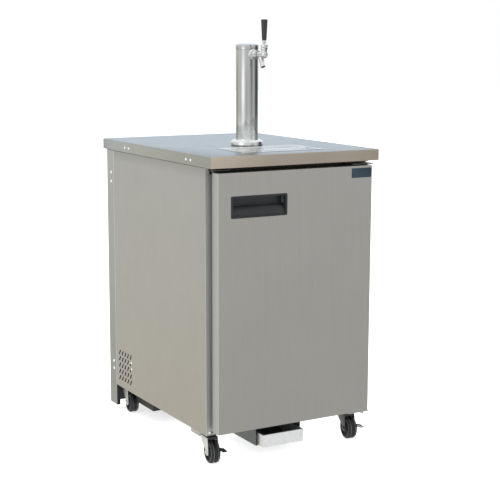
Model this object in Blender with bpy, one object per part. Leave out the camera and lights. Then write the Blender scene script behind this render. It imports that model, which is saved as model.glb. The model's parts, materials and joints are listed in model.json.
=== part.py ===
"""One-tap draft beer cooler on casters: the solid model of every piece, in metres.

+Z is up and the door faces -Y. The origin is on the floor, under the middle of the worktop.
Every piece is one closed body. Moving pieces hang on an empty that lies on their joint axis.
"""

import math

import bmesh
import bpy
from mathutils import Matrix, Vector

# Clearances and sheet
GAP = 0.0003  # between two pieces that touch
SHEET = 0.0012  # stainless sheet
REACH = 0.01  # how far a cutter runs past the face that it opens

# Worktop
TOP_WIDTH = 0.632
TOP_DEPTH = 0.845
TOP_HEIGHT = 1.0155
TOP_EDGE = 0.037
TOP_LIP = 0.014  # return lip under the edge

# Insulated body
BODY_WIDTH = 0.610
BODY_FRONT = -0.362
BODY_BACK = 0.3536
BODY_BOTTOM = 0.102
BODY_TOP = TOP_HEIGHT - TOP_EDGE - GAP
PANEL_FLANGE = 0.014
FRAME_DEPTH = 0.004
FOAM_BACK = 0.350
BAY_FRONT = 0.128  # machine compartment, under the raised rear of the keg space
BAY_TOP = 0.400

# Keg space, inside the liner
INNER_WIDTH = 0.511
INNER_FLOOR = 0.165
INNER_TOP = 0.915
INNER_STEP_Y = 0.0755
INNER_LEDGE_Z = 0.453
INNER_BACK = 0.297
LINER = 0.001

# Rear cover
COVER_BACK = 0.4143
COVER_BOTTOM = 0.023
COVER_FLANGE = 0.013

# Side vents: slanted slots in a grid
VENT_COLUMNS = 5
VENT_ROWS = 5
VENT_PITCH_Y = 0.0240
VENT_PITCH_Z = 0.0238
VENT_Y = 0.2745
VENT_Z = 0.1850
VENT_WIDTH = 0.0092
VENT_HEIGHT = 0.0176
VENT_LEAN = 0.0110

# Door
DOOR_FRONT = -0.421
DOOR_BACK = -0.381
DOOR_WIDTH = 0.582
DOOR_BOTTOM = 0.1175
DOOR_TOP = 0.963
HINGE_X = 0.280
HINGE_Y = -0.402
PIN_RADIUS = 0.004
PIN_ENTRY = 0.016
HANDLE_LEFT = -0.245
HANDLE_RIGHT = -0.0385
HANDLE_BOTTOM = 0.8175
HANDLE_TOP = 0.8885
HANDLE_CORNER = 0.006
HANDLE_PROUD = 0.0012
HANDLE_DEEP = 0.027
HANDLE_SILL = 0.8566
BADGE = (0.2095, 0.2875, 0.9235, 0.9555)  # left, right, bottom, top
BADGE_PROUD = 0.0011

# Draft tower and faucet
TOWER_Y = -0.088
TOWER_RADIUS = 0.0381
TOWER_WALL = 0.0020
TOWER_TOP = 1.3395
CAP_TOP = 1.3605
FLANGE_RADIUS = 0.0555
FLANGE_HEIGHT = 0.020
TOWER_HOLE = 0.025
FAUCET_Z = 1.3240
TAP_Y = -0.2025
PIVOT_Z = 1.3510
SHANK_RADIUS = 0.0108
SHANK_END = -0.158
SHANK_TAIL = -0.085
HANDLE_KNOB_TOP = 1.4395

# Drip tray
TRAY_X = -0.006
TRAY_WIDTH = 0.300
TRAY_FRONT = -0.345
TRAY_BACK = -0.160

# Condensate tray and its holder
HOLDER_LEFT = -0.112
HOLDER_RIGHT = 0.061
HOLDER_FRONT = -0.351
HOLDER_BACK = -0.120
HOLDER_BOTTOM = 0.0355
DRAWER_FRONT = -0.385
DRAWER_TOP = 0.079

# Casters
WHEEL_RADIUS = 0.0381
WHEEL_WIDTH = 0.031
TRAIL = 0.025
CASTERS = {  # swivel axis and the angle that the fork rests at
    "front_left": (-0.268, -0.313, -5.0),
    "front_right": (0.2715, -0.313, -6.0),
    "rear_left": (-0.257, 0.345, -6.0),
    "rear_right": (0.257, 0.345, -9.0),
}


# ---------------------------------------------------------------- looks

def look(name, colour, roughness, metallic):
    """A plain Principled material."""
    material = bpy.data.materials.new(name)
    material.use_nodes = True
    shader = material.node_tree.nodes["Principled BSDF"]
    shader.inputs["Base Color"].default_value = (*colour, 1.0)
    shader.inputs["Roughness"].default_value = roughness
    shader.inputs["Metallic"].default_value = metallic
    return material


LOOKS = {
    "brushed": ((0.62, 0.61, 0.58), 0.34, 1.0),
    "polished": ((0.82, 0.82, 0.82), 0.10, 1.0),
    "galvanised": ((0.66, 0.68, 0.67), 0.45, 1.0),
    "zinc": ((0.60, 0.62, 0.62), 0.38, 1.0),
    "aluminium": ((0.70, 0.71, 0.72), 0.40, 1.0),
    "copper": ((0.72, 0.43, 0.28), 0.30, 1.0),
    "dark_steel": ((0.09, 0.10, 0.10), 0.55, 0.6),
    "black_paint": ((0.02, 0.02, 0.02), 0.40, 0.0),
    "black_plastic": ((0.02, 0.022, 0.024), 0.35, 0.0),
    "black_rubber": ((0.025, 0.025, 0.025), 0.70, 0.0),
    "foam": ((0.86, 0.80, 0.62), 0.90, 0.0),
    "badge": ((0.05, 0.12, 0.18), 0.30, 0.0),
    "white_plastic": ((0.80, 0.80, 0.78), 0.45, 0.0),
    "clear_hose": ((0.75, 0.77, 0.76), 0.30, 0.0),
}


# ---------------------------------------------------------------- shapes

def finish(bm):
    """Turns a bmesh into a mesh whose faces point out."""
    bmesh.ops.recalc_face_normals(bm, faces=bm.faces)
    mesh = bpy.data.meshes.new("shape")
    bm.to_mesh(mesh)
    bm.free()
    return mesh


def place(axis, first, second, along):
    """A point from its two cross coordinates and its coordinate along the axis."""
    if axis == "X":
        return (along, first, second)
    if axis == "Y":
        return (first, along, second)
    return (first, second, along)


def prism(outline, axis, low, high):
    """A flat outline pushed along an axis."""
    bm = bmesh.new()
    ends = [[bm.verts.new(place(axis, a, b, t)) for a, b in outline] for t in (low, high)]
    for end in ends:
        bm.faces.new(end)
    for i in range(len(outline)):
        bm.faces.new((ends[0][i - 1], ends[0][i], ends[1][i], ends[1][i - 1]))
    return finish(bm)


def box(x0, x1, y0, y1, z0, z1):
    """A block between two corners."""
    return prism([(x0, y0), (x1, y0), (x1, y1), (x0, y1)], "Z", z0, z1)


def turned(profile, axis, centre, segments=32, phase=0.0):
    """A profile of (radius, height) turned about an axis.

    A profile that starts at radius 0 runs from pole to pole. Any other closes on itself, as a ring.
    """
    bm = bmesh.new()
    cross = {"X": (1, 2, 0), "Y": (0, 2, 1), "Z": (0, 1, 2)}[axis]
    rings = []
    for radius, height in profile:
        count = segments if radius > 0 else 1
        ring = []
        for i in range(count):
            angle = 2 * math.pi * (i + phase) / segments
            point = list(centre)
            point[cross[0]] += radius * math.cos(angle)
            point[cross[1]] += radius * math.sin(angle)
            point[cross[2]] += height
            ring.append(bm.verts.new(point))
        rings.append(ring)
    followers = rings[1:] + (rings[:1] if profile[0][0] > 0 else [])
    for ring, follower in zip(rings, followers):
        for i in range(segments):
            j = (i + 1) % segments
            corners = [ring[i % len(ring)], ring[j % len(ring)]]
            corners += [follower[j % len(follower)], follower[i % len(follower)]]
            bm.faces.new(list(dict.fromkeys(corners)))
    return finish(bm)


def cylinder(radius, axis, centre, low, high, segments=32, phase=0.0):
    """A plain cylinder from low to high along the axis, measured from its centre point."""
    return turned([(0, low), (radius, low), (radius, high), (0, high)], axis, centre, segments, phase)


def tube(outer, inner, axis, centre, low, high, segments=32):
    """A pipe with square ends."""
    return turned([(outer, low), (outer, high), (inner, high), (inner, low)], axis, centre, segments)


def arc(centre, radius, start, stop, steps):
    """Points on a circle between two angles in degrees."""
    angles = [math.radians(start + (stop - start) * i / steps) for i in range(steps + 1)]
    return [(centre[0] + radius * math.cos(a), centre[1] + radius * math.sin(a)) for a in angles]


def rounded_rectangle(a0, a1, b0, b1, radius, steps=3):
    """An outline with round corners."""
    points = []
    corners = [(a1 - radius, b0 + radius, -90), (a1 - radius, b1 - radius, 0),
               (a0 + radius, b1 - radius, 90), (a0 + radius, b0 + radius, 180)]
    for a, b, start in corners:
        points += arc((a, b), radius, start, start + 90, steps)
    return points


def swept(path, radius, segments=10):
    """A round bar along a path, with flat ends."""
    bm = bmesh.new()
    points = [Vector(p) for p in path]
    side = Vector((1, 0, 0))
    rings = []
    for i, point in enumerate(points):
        ahead = (points[min(i + 1, len(points) - 1)] - points[max(i - 1, 0)]).normalized()
        side = (side - ahead * side.dot(ahead)).normalized()
        other = ahead.cross(side)
        ring = []
        for k in range(segments):
            angle = 2 * math.pi * k / segments
            ring.append(bm.verts.new(point + radius * (side * math.cos(angle) + other * math.sin(angle))))
        rings.append(ring)
    for ring, follower in zip(rings, rings[1:]):
        for k in range(segments):
            bm.faces.new((ring[k - 1], ring[k], follower[k], follower[k - 1]))
    bm.faces.new(rings[0])
    bm.faces.new(rings[-1])
    return finish(bm)


def several(meshes):
    """One mesh from several that don't touch, for one cut."""
    bm = bmesh.new()
    for mesh in meshes:
        bm.from_mesh(mesh)
    return finish(bm)


def softened(mesh, width, picked, segments=2):
    """Rounds the edges that picked says yes to."""
    bm = bmesh.new()
    bm.from_mesh(mesh)
    edges = [edge for edge in bm.edges if picked(edge)]
    bmesh.ops.bevel(bm, geom=edges, offset=width, segments=segments, affect="EDGES", profile=0.5)
    return finish(bm)


def combined(base, tool, operation):
    """The Boolean of two meshes."""
    objects = [bpy.data.objects.new("operand", mesh) for mesh in (base, tool)]
    for operand in objects:
        bpy.context.scene.collection.objects.link(operand)
    modifier = objects[0].modifiers.new("combine", "BOOLEAN")
    modifier.operation = operation
    modifier.solver = "EXACT"
    modifier.object = objects[1]
    graph = bpy.context.evaluated_depsgraph_get()
    result = bpy.data.meshes.new_from_object(objects[0].evaluated_get(graph))
    for operand in objects:
        bpy.data.objects.remove(operand)
    return result


def cut(base, *tools):
    """The base with each tool taken out of it."""
    for tool in tools:
        base = combined(base, tool, "DIFFERENCE")
    return base


def joined(base, *others):
    """The union of overlapping meshes."""
    for other in others:
        base = combined(base, other, "UNION")
    return base


def pivot(name, point, turn=0.0, parent=None):
    """An empty on a joint's axis."""
    empty = bpy.data.objects.new(name, None)
    empty.empty_display_size = 0.05
    empty.location = point
    empty.rotation_euler = (0, 0, math.radians(turn))
    empty.parent = parent
    bpy.context.scene.collection.objects.link(empty)
    return empty


def add(name, mesh, finish_name, parent=None, origin=(0, 0, 0)):
    """A named piece. The mesh is in the parent's space, and origin moves its own origin there."""
    mesh = mesh.copy()
    mesh.name = name
    mesh.transform(Matrix.Translation(-Vector(origin)))
    mesh.shade_smooth()
    mesh.set_sharp_from_angle(angle=math.radians(35))
    colour, roughness, metallic = LOOKS[finish_name]
    mesh.materials.clear()
    mesh.materials.append(look(name, colour, roughness, metallic))
    piece = bpy.data.objects.new(name, mesh)
    piece.location = origin
    piece.parent = parent
    bpy.context.scene.collection.objects.link(piece)
    return piece


def add_on(name, mesh, finish_name, empty):
    """A piece given in world space that hangs on an unturned, unparented empty."""
    moved = mesh.copy()
    moved.transform(Matrix.Translation(-Vector(empty.location)))
    return add(name, moved, finish_name, empty)


# ---------------------------------------------------------------- worktop

def tray_hole(inset, low, high):
    """A block of the drip tray's plan, drawn in by an inset."""
    half = TRAY_WIDTH / 2 - inset
    return box(TRAY_X - half, TRAY_X + half, TRAY_FRONT + inset, TRAY_BACK - inset, low, high)


def worktop_block(inset, low, high):
    """A block of the worktop's plan, drawn in by an inset."""
    half_width = TOP_WIDTH / 2 - inset
    half_depth = TOP_DEPTH / 2 - inset
    return box(-half_width, half_width, -half_depth, half_depth, low, high)


def tower_hole(low, high):
    """The round way for the beer line and cold air."""
    return cylinder(TOWER_HOLE, "Z", (0, TOWER_Y, 0), low, high)


def make_worktop():
    """The folded stainless top and the board that stiffens it."""
    underside = TOP_HEIGHT - TOP_EDGE

    def outer_edge(edge):
        return not all(abs(v.co.z - underside) < GAP for v in edge.verts)

    pan = softened(worktop_block(0, underside, TOP_HEIGHT), 0.0015, outer_edge)
    pan = cut(
        pan,
        worktop_block(SHEET, underside + SHEET, TOP_HEIGHT - SHEET),
        worktop_block(TOP_LIP, underside - REACH, underside + 2 * SHEET),
        tray_hole(0.0066, TOP_HEIGHT - REACH, TOP_HEIGHT + REACH),
        tower_hole(TOP_HEIGHT - REACH, TOP_HEIGHT + REACH),
    )
    add("worktop", pan, "brushed")

    core = worktop_block(SHEET + GAP, underside + SHEET + GAP, TOP_HEIGHT - SHEET - GAP)
    core = cut(
        core,
        tray_hole(0.0066, TOP_HEIGHT - 0.0235, TOP_HEIGHT + REACH),
        tower_hole(underside - REACH, TOP_HEIGHT + REACH),
    )
    add("worktop_core", core, "foam")


def make_drip_tray():
    """The sunk pan and the slotted grille that lies in it."""
    rim_top = TOP_HEIGHT + GAP + SHEET
    ledge = TOP_HEIGHT - 0.0015
    floor = TOP_HEIGHT - 0.0230
    pan = joined(
        tray_hole(0, TOP_HEIGHT + GAP, rim_top),
        tray_hole(0.007, ledge - 0.001, rim_top - 0.0002),
        tray_hole(0.010, floor, ledge - 0.0005),
    )
    pan = cut(
        pan,
        tray_hole(0.008, ledge, rim_top + REACH),
        tray_hole(0.0112, floor + SHEET, ledge + REACH),
    )
    add("drip_pan", pan, "polished")

    plate = tray_hole(0.0084, ledge + GAP, ledge + GAP + 0.0015)
    slots = []
    columns = 19
    pitch = 0.0145
    half_width = 0.0032
    half_length = 0.0320
    for row in (-1, 1):
        middle = (TRAY_FRONT + TRAY_BACK) / 2 + row * 0.0400
        for i in range(columns):
            x = TRAY_X + (i - (columns - 1) / 2) * pitch
            slots.append(box(x - half_width, x + half_width, middle - half_length, middle + half_length,
                             ledge - REACH, ledge + REACH))
    origin = (TRAY_X, (TRAY_FRONT + TRAY_BACK) / 2, ledge)
    add("drip_grille", cut(plate, several(slots)), "polished", None, origin)


# ---------------------------------------------------------------- cabinet

def vent_slots(side):
    """The slanted slots of one side, as one cutter."""
    slots = []
    half_width = VENT_WIDTH / 2
    for column in range(VENT_COLUMNS):
        for row in range(VENT_ROWS):
            y = VENT_Y + (column - (VENT_COLUMNS - 1) / 2) * VENT_PITCH_Y
            z = VENT_Z + (row - (VENT_ROWS - 1) / 2) * VENT_PITCH_Z
            low = (y + VENT_LEAN / 2, z - VENT_HEIGHT / 2)
            high = (y - VENT_LEAN / 2, z + VENT_HEIGHT / 2)
            outline = [(low[0] - half_width, low[1]), (low[0] + half_width, low[1]),
                       (high[0] + half_width, high[1]), (high[0] - half_width, high[1])]
            edge = side * BODY_WIDTH / 2
            slots.append(prism(outline, "X", edge - 0.005, edge + 0.005))
    return several(slots)


def make_side_panels():
    """Left and right panels, each folded in at the door side and at the back."""
    outer = BODY_WIDTH / 2
    inner = outer - SHEET
    for name, side in (("left_panel", -1), ("right_panel", 1)):
        outline = [
            (outer, BODY_FRONT),
            (outer, BODY_BACK),
            (outer - 0.012, BODY_BACK),
            (outer - 0.012, BODY_BACK - SHEET),
            (inner, BODY_BACK - SHEET),
            (inner, BODY_FRONT + SHEET),
            (outer - PANEL_FLANGE, BODY_FRONT + SHEET),
            (outer - PANEL_FLANGE, BODY_FRONT),
        ]
        panel = prism([(side * x, y) for x, y in outline], "Z", BODY_BOTTOM, BODY_TOP)
        add(name, cut(panel, vent_slots(side)), "brushed")


def liner_outline(grow):
    """The keg space's side view, with its raised rear over the machines, as (y, z)."""
    front = BODY_FRONT + SHEET + FRAME_DEPTH + 0.0014
    return [
        (front - grow * 100, INNER_FLOOR - grow),
        (INNER_STEP_Y + grow, INNER_FLOOR - grow),
        (INNER_STEP_Y + grow, INNER_LEDGE_Z - grow),
        (INNER_BACK + grow, INNER_LEDGE_Z - grow),
        (INNER_BACK + grow, INNER_TOP + grow),
        (front - grow * 100, INNER_TOP + grow),
    ]


def make_body():
    """Liner, foam, face frame, floor sheet and back sheet."""
    half = INNER_WIDTH / 2
    front = BODY_FRONT + SHEET + FRAME_DEPTH + 0.0006
    shell = [(max(y, front), z) for y, z in liner_outline(LINER)]
    hollow = [(y - REACH if i in (0, 5) else y, z) for i, (y, z) in enumerate(liner_outline(0))]
    liner = cut(
        prism(shell, "X", -half - LINER, half + LINER),
        prism(hollow, "X", -half, half),
        tower_hole(INNER_TOP - REACH, INNER_TOP + REACH),
    )
    add("liner", liner, "brushed")

    side = BODY_WIDTH / 2 - SHEET - GAP
    skin = LINER + GAP
    foam = cut(
        box(-side, side, front, FOAM_BACK, BODY_BOTTOM + SHEET + 2 * GAP, BODY_TOP),
        prism(liner_outline(skin), "X", -half - skin, half + skin),
        box(-side - REACH, side + REACH, BAY_FRONT, FOAM_BACK + REACH, BODY_BOTTOM - REACH, BAY_TOP),
        tower_hole(INNER_TOP - REACH, BODY_TOP + REACH),
    )
    add("cabinet_foam", foam, "foam")

    frame_face = BODY_FRONT + SHEET + GAP
    ring = box(-side, side, frame_face, frame_face + FRAME_DEPTH, BODY_BOTTOM, BODY_TOP)
    opening = box(-half, half, BODY_FRONT - REACH, BODY_FRONT + 2 * REACH, INNER_FLOOR, INNER_TOP)
    add("front_frame", cut(ring, opening), "brushed")

    floor = box(-side, side, front, BAY_FRONT - GAP, BODY_BOTTOM, BODY_BOTTOM + SHEET)
    add("base_panel", floor, "galvanised")

    back = box(-side, side, FOAM_BACK + GAP, FOAM_BACK + GAP + SHEET, BAY_TOP, BODY_TOP)
    add("back_panel", back, "galvanised")


def make_rear_cover():
    """The full-height cover behind the body, open at its foot, with louvre slots low down."""
    outer = BODY_WIDTH / 2
    inner = outer - SHEET
    front = BODY_BACK + GAP
    half = [
        (outer - COVER_FLANGE, front),
        (outer, front),
        (outer, COVER_BACK),
    ]
    half_inside = [
        (inner, COVER_BACK - SHEET),
        (inner, front + SHEET),
        (outer - COVER_FLANGE, front + SHEET),
    ]
    outline = half + [(-x, y) for x, y in reversed(half)]
    outline += [(-x, y) for x, y in reversed(half_inside)] + half_inside
    cover = prism(outline, "Z", COVER_BOTTOM, BODY_TOP)
    louvres = []
    for i in range(8):
        z = 0.140 + 0.026 * i
        for x in (-0.13, 0.13):
            louvres.append(box(x - 0.09, x + 0.09, COVER_BACK - REACH, COVER_BACK + REACH, z, z + 0.006))
    add("rear_cover", cut(cover, several(louvres)), "brushed")


# ---------------------------------------------------------------- machine compartment

BASE_BOTTOM = 0.050
BASE_SHEET = 0.0015
BASE_WIDE = 0.262
BASE_NARROW = 0.188
BASE_WAIST = 0.272
FAN_Y = 0.2475
FAN_Z = 0.183
FAN_RADIUS = 0.062
CONDENSER_RIGHT = -0.2450
CONDENSER_THICK = 0.045
CONDENSER_DEPTH = 0.195
CONDENSER_TOP = 0.262
COMPRESSOR_X = 0.020
COMPRESSOR_Y = 0.232


def base_plan(inset):
    """The trough's plan: wide ahead of the rear casters, narrow between them."""
    back = FOAM_BACK + GAP
    return [
        (-BASE_WIDE + inset, BAY_FRONT + 0.001 + inset),
        (BASE_WIDE - inset, BAY_FRONT + 0.001 + inset),
        (BASE_WIDE - inset, BASE_WAIST - inset),
        (BASE_NARROW - inset, BASE_WAIST - inset),
        (BASE_NARROW - inset, back - inset),
        (-BASE_NARROW + inset, back - inset),
        (-BASE_NARROW + inset, BASE_WAIST - inset),
        (-BASE_WIDE + inset, BASE_WAIST - inset),
    ]


def make_machine_base():
    """The trough that carries the machines, with the ledge that the rear casters bolt to."""
    side = BODY_WIDTH / 2 - SHEET - GAP
    waist = BODY_WIDTH / 2 - COVER_FLANGE - GAP
    shoulder = BODY_BACK - SHEET - GAP
    back = COVER_BACK - SHEET - GAP
    ledge_outline = [
        (-side, BAY_FRONT),
        (side, BAY_FRONT),
        (side, shoulder),
        (waist, shoulder),
        (waist, back),
        (-waist, back),
        (-waist, shoulder),
        (-side, shoulder),
    ]
    ledge = prism(ledge_outline, "Z", BODY_BOTTOM, BODY_BOTTOM + BASE_SHEET)
    trough = prism(base_plan(0), "Z", BASE_BOTTOM, BODY_BOTTOM + BASE_SHEET / 2)
    inside = prism(base_plan(BASE_SHEET), "Z", BASE_BOTTOM + BASE_SHEET, BODY_BOTTOM + REACH)
    add("machine_base", cut(joined(ledge, trough), inside), "galvanised")


def fan_rotor(axis, centre, radius, hub_radius, low, high, blades=5):
    """A hub with pitched blades around an axis."""
    rotor = cylinder(hub_radius, axis, centre, low, high, 20)
    middle = (low + high) / 2
    for i in range(blades):
        turn = Matrix.Rotation(2 * math.pi * i / blades, 4, axis)
        pitch = Matrix.Rotation(math.radians(28), 4, "Z")
        blade = box(-0.018, 0.018, -0.0008, 0.0008, hub_radius - 0.004, radius)
        to_axis = Matrix.Rotation(math.radians(90), 4, "Z") if axis == "X" else Matrix.Identity(4)
        offset = Vector(centre) + Vector(place(axis, 0, 0, middle))
        blade.transform(Matrix.Translation(offset) @ turn @ to_axis @ pitch)
        rotor = joined(rotor, blade)
    return rotor


def make_condenser():
    """The finned condenser behind the left vents, its shroud, fan and motor."""
    low_y, high_y = FAN_Y - CONDENSER_DEPTH / 2, FAN_Y + CONDENSER_DEPTH / 2
    bottom, top = BODY_BOTTOM + BASE_SHEET + GAP, CONDENSER_TOP
    left = CONDENSER_RIGHT - CONDENSER_THICK
    rim = 0.006
    half_groove = 0.0035
    grooves = []
    count = 16
    for i in range(count):
        y = low_y + (i + 1) * (high_y - low_y) / (count + 1)
        grooves.append(box(left - REACH, CONDENSER_RIGHT - rim, y - half_groove, y + half_groove,
                           bottom + rim, top - rim))
    condenser = cut(box(left, CONDENSER_RIGHT, low_y, high_y, bottom, top), several(grooves))
    add("condenser", condenser, "black_paint")

    face = CONDENSER_RIGHT + GAP
    centre = (0, FAN_Y, FAN_Z)
    plate = box(face, face + SHEET, low_y, high_y, bottom, top)
    ring = cylinder(FAN_RADIUS + 0.006, "X", centre, face + SHEET / 2, face + 0.020, 28)
    bore = cylinder(FAN_RADIUS + 0.004, "X", centre, face - REACH, face + 3 * REACH, 28)
    add("fan_shroud", cut(joined(plate, ring), bore), "black_paint")

    spin = pivot("condenser_fan_axis", centre)
    rotor = fan_rotor("X", centre, FAN_RADIUS, 0.022, face + 0.004, face + 0.022)
    add_on("condenser_fan", rotor, "aluminium", spin)

    motor_face = face + 0.0235
    motor = cylinder(0.030, "X", centre, motor_face, motor_face + 0.045, 24)
    stand = box(motor_face + 0.012, motor_face + 0.030, FAN_Y - 0.012, FAN_Y + 0.012,
                BASE_BOTTOM + BASE_SHEET + GAP, FAN_Z)
    foot = box(motor_face + 0.005, motor_face + 0.040, FAN_Y - 0.022, FAN_Y + 0.022,
               BASE_BOTTOM + BASE_SHEET + GAP, BASE_BOTTOM + BASE_SHEET + 0.003)
    add("condenser_motor", joined(motor, stand, foot), "dark_steel")


def make_compressor():
    """The welded compressor can on its foot plate and four rubber feet, and its discharge pipe."""
    centre = (COMPRESSOR_X, COMPRESSOR_Y, 0)
    floor = BASE_BOTTOM + BASE_SHEET + GAP
    can = [(0, 0.064), (0.060, 0.064), (0.068, 0.072), (0.070, 0.140), (0.070, 0.150), (0.068, 0.190),
           (0.058, 0.212), (0.036, 0.226), (0, 0.230)]
    body = turned(can, "Z", centre, 24)
    plate = box(COMPRESSOR_X - 0.085, COMPRESSOR_X + 0.085, COMPRESSOR_Y - 0.055, COMPRESSOR_Y + 0.055,
                0.0620, 0.0655)
    body = joined(body, plate)
    for x in (-0.072, 0.072):
        for y in (-0.042, 0.042):
            spot = (COMPRESSOR_X + x, COMPRESSOR_Y + y, 0)
            body = joined(body, cylinder(0.011, "Z", spot, floor, 0.0640, 12))
    body = cut(body, cylinder(0.0535, "Z", centre, floor, 0.195, 20))
    add("compressor", body, "black_paint")

    start = Vector((COMPRESSOR_X - 0.030, COMPRESSOR_Y, 0.2290 + GAP))
    high = 0.300
    stop = Vector((CONDENSER_RIGHT - CONDENSER_THICK / 2, FAN_Y, CONDENSER_TOP + GAP))
    bend = 0.030
    left = [(stop.x + bend - bend * math.sin(a), high - bend + bend * math.cos(a))
            for a in [math.radians(15 * i) for i in range(7)]]
    right = [(start.x - bend + bend * math.cos(a), high - bend + bend * math.sin(a))
             for a in [math.radians(15 * i) for i in range(7)]]
    run = [(start.x, start.z)] + right + left + [(stop.x, stop.z)]
    span = start.x - stop.x
    path = [(x, start.y + (stop.y - start.y) * (start.x - x) / span, z) for x, z in run]
    add("discharge_pipe", swept(path, 0.004, 8), "copper")


# ---------------------------------------------------------------- evaporator and thermostat

EVAP_HALF = 0.190
EVAP_FRONT = 0.165
EVAP_BOTTOM = 0.600
EVAP_TOP = 0.860
EVAP_FAN_Z = 0.730
EVAP_FAN_RADIUS = 0.060


def make_evaporator():
    """The finned coil on the liner's back wall, its cover, fan and motor."""
    back = INNER_BACK - GAP
    centre = (0, 0, EVAP_FAN_Z)
    fins = []
    count = 14
    for i in range(count):
        x = -0.160 + (i + 1) * 0.320 / (count + 1)
        fins.append(box(x - 0.006, x + 0.006, 0.225, 0.285, 0.630, 0.830))
    coil = cut(box(-0.160, 0.160, 0.235, back, 0.620, 0.840), several(fins))
    add("evaporator_coil", coil, "aluminium")

    wall = 0.002
    cover = box(-EVAP_HALF, EVAP_HALF, EVAP_FRONT, back, EVAP_BOTTOM, EVAP_TOP)
    inlets = []
    for i in range(7):
        x = -0.15 + 0.05 * i
        inlets.append(box(x - 0.012, x + 0.012, EVAP_FRONT + 0.02, back - 0.02,
                          EVAP_BOTTOM - REACH, EVAP_BOTTOM + REACH))
    cover = cut(
        cover,
        box(-EVAP_HALF + wall, EVAP_HALF - wall, EVAP_FRONT + wall, back + REACH,
            EVAP_BOTTOM + wall, EVAP_TOP - wall),
        cylinder(EVAP_FAN_RADIUS + 0.005, "Y", centre, EVAP_FRONT - REACH, EVAP_FRONT + REACH, 32),
        several(inlets),
    )
    add("evaporator_cover", cover, "white_plastic")

    spin = pivot("evaporator_fan_axis", centre)
    rotor = fan_rotor("Y", centre, EVAP_FAN_RADIUS, 0.020, EVAP_FRONT + 0.005, EVAP_FRONT + 0.022)
    add_on("evaporator_fan", rotor, "black_plastic", spin)

    motor = cylinder(0.024, "Y", centre, EVAP_FRONT + 0.0235, 0.2320, 20)
    bracket = box(-0.150, 0.150, 0.2300, 0.2347, EVAP_FAN_Z - 0.012, EVAP_FAN_Z + 0.012)
    add("evaporator_motor", joined(motor, bracket), "dark_steel")


def make_thermostat():
    """The thermostat box on the liner's right wall, with its dial."""
    wall = INNER_WIDTH / 2 - GAP
    case = softened(box(wall - 0.030, wall, 0.130, 0.190, 0.480, 0.560), 0.003,
                    lambda edge: all(v.co.x < wall - 0.02 for v in edge.verts))
    add("thermostat", case, "white_plastic")
    centre = (wall - 0.030 - GAP, 0.160, 0.520)
    spin = pivot("thermostat_dial_axis", centre)
    dial = turned([(0, -0.014), (0.016, -0.014), (0.018, -0.012), (0.018, 0), (0, 0)], "X", centre, 24)
    grip = box(centre[0] - 0.018, centre[0] - 0.010, 0.157, 0.163, 0.505, 0.535)
    add_on("thermostat_dial", joined(dial, grip), "black_plastic", spin)


# ---------------------------------------------------------------- door

def pin_hole(high):
    """The bore at one end of the door that a hinge pin sits in."""
    middle = DOOR_TOP if high else DOOR_BOTTOM
    return cylinder(PIN_RADIUS + GAP, "Z", (HINGE_X, HINGE_Y, middle), -PIN_ENTRY - GAP, PIN_ENTRY + GAP, 16)


def door_block(inset, front, back):
    """A block of the door's outline, drawn in by an inset."""
    half = DOOR_WIDTH / 2 - inset
    return box(-half, half, front, back, DOOR_BOTTOM + inset, DOOR_TOP - inset)


def handle_outline(inset):
    """The handle's round-cornered outline, drawn in by an inset, as (x, z)."""
    radius = max(HANDLE_CORNER - inset, 0.002)
    return rounded_rectangle(HANDLE_LEFT + inset, HANDLE_RIGHT - inset,
                             HANDLE_BOTTOM + inset, HANDLE_TOP - inset, radius)


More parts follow.
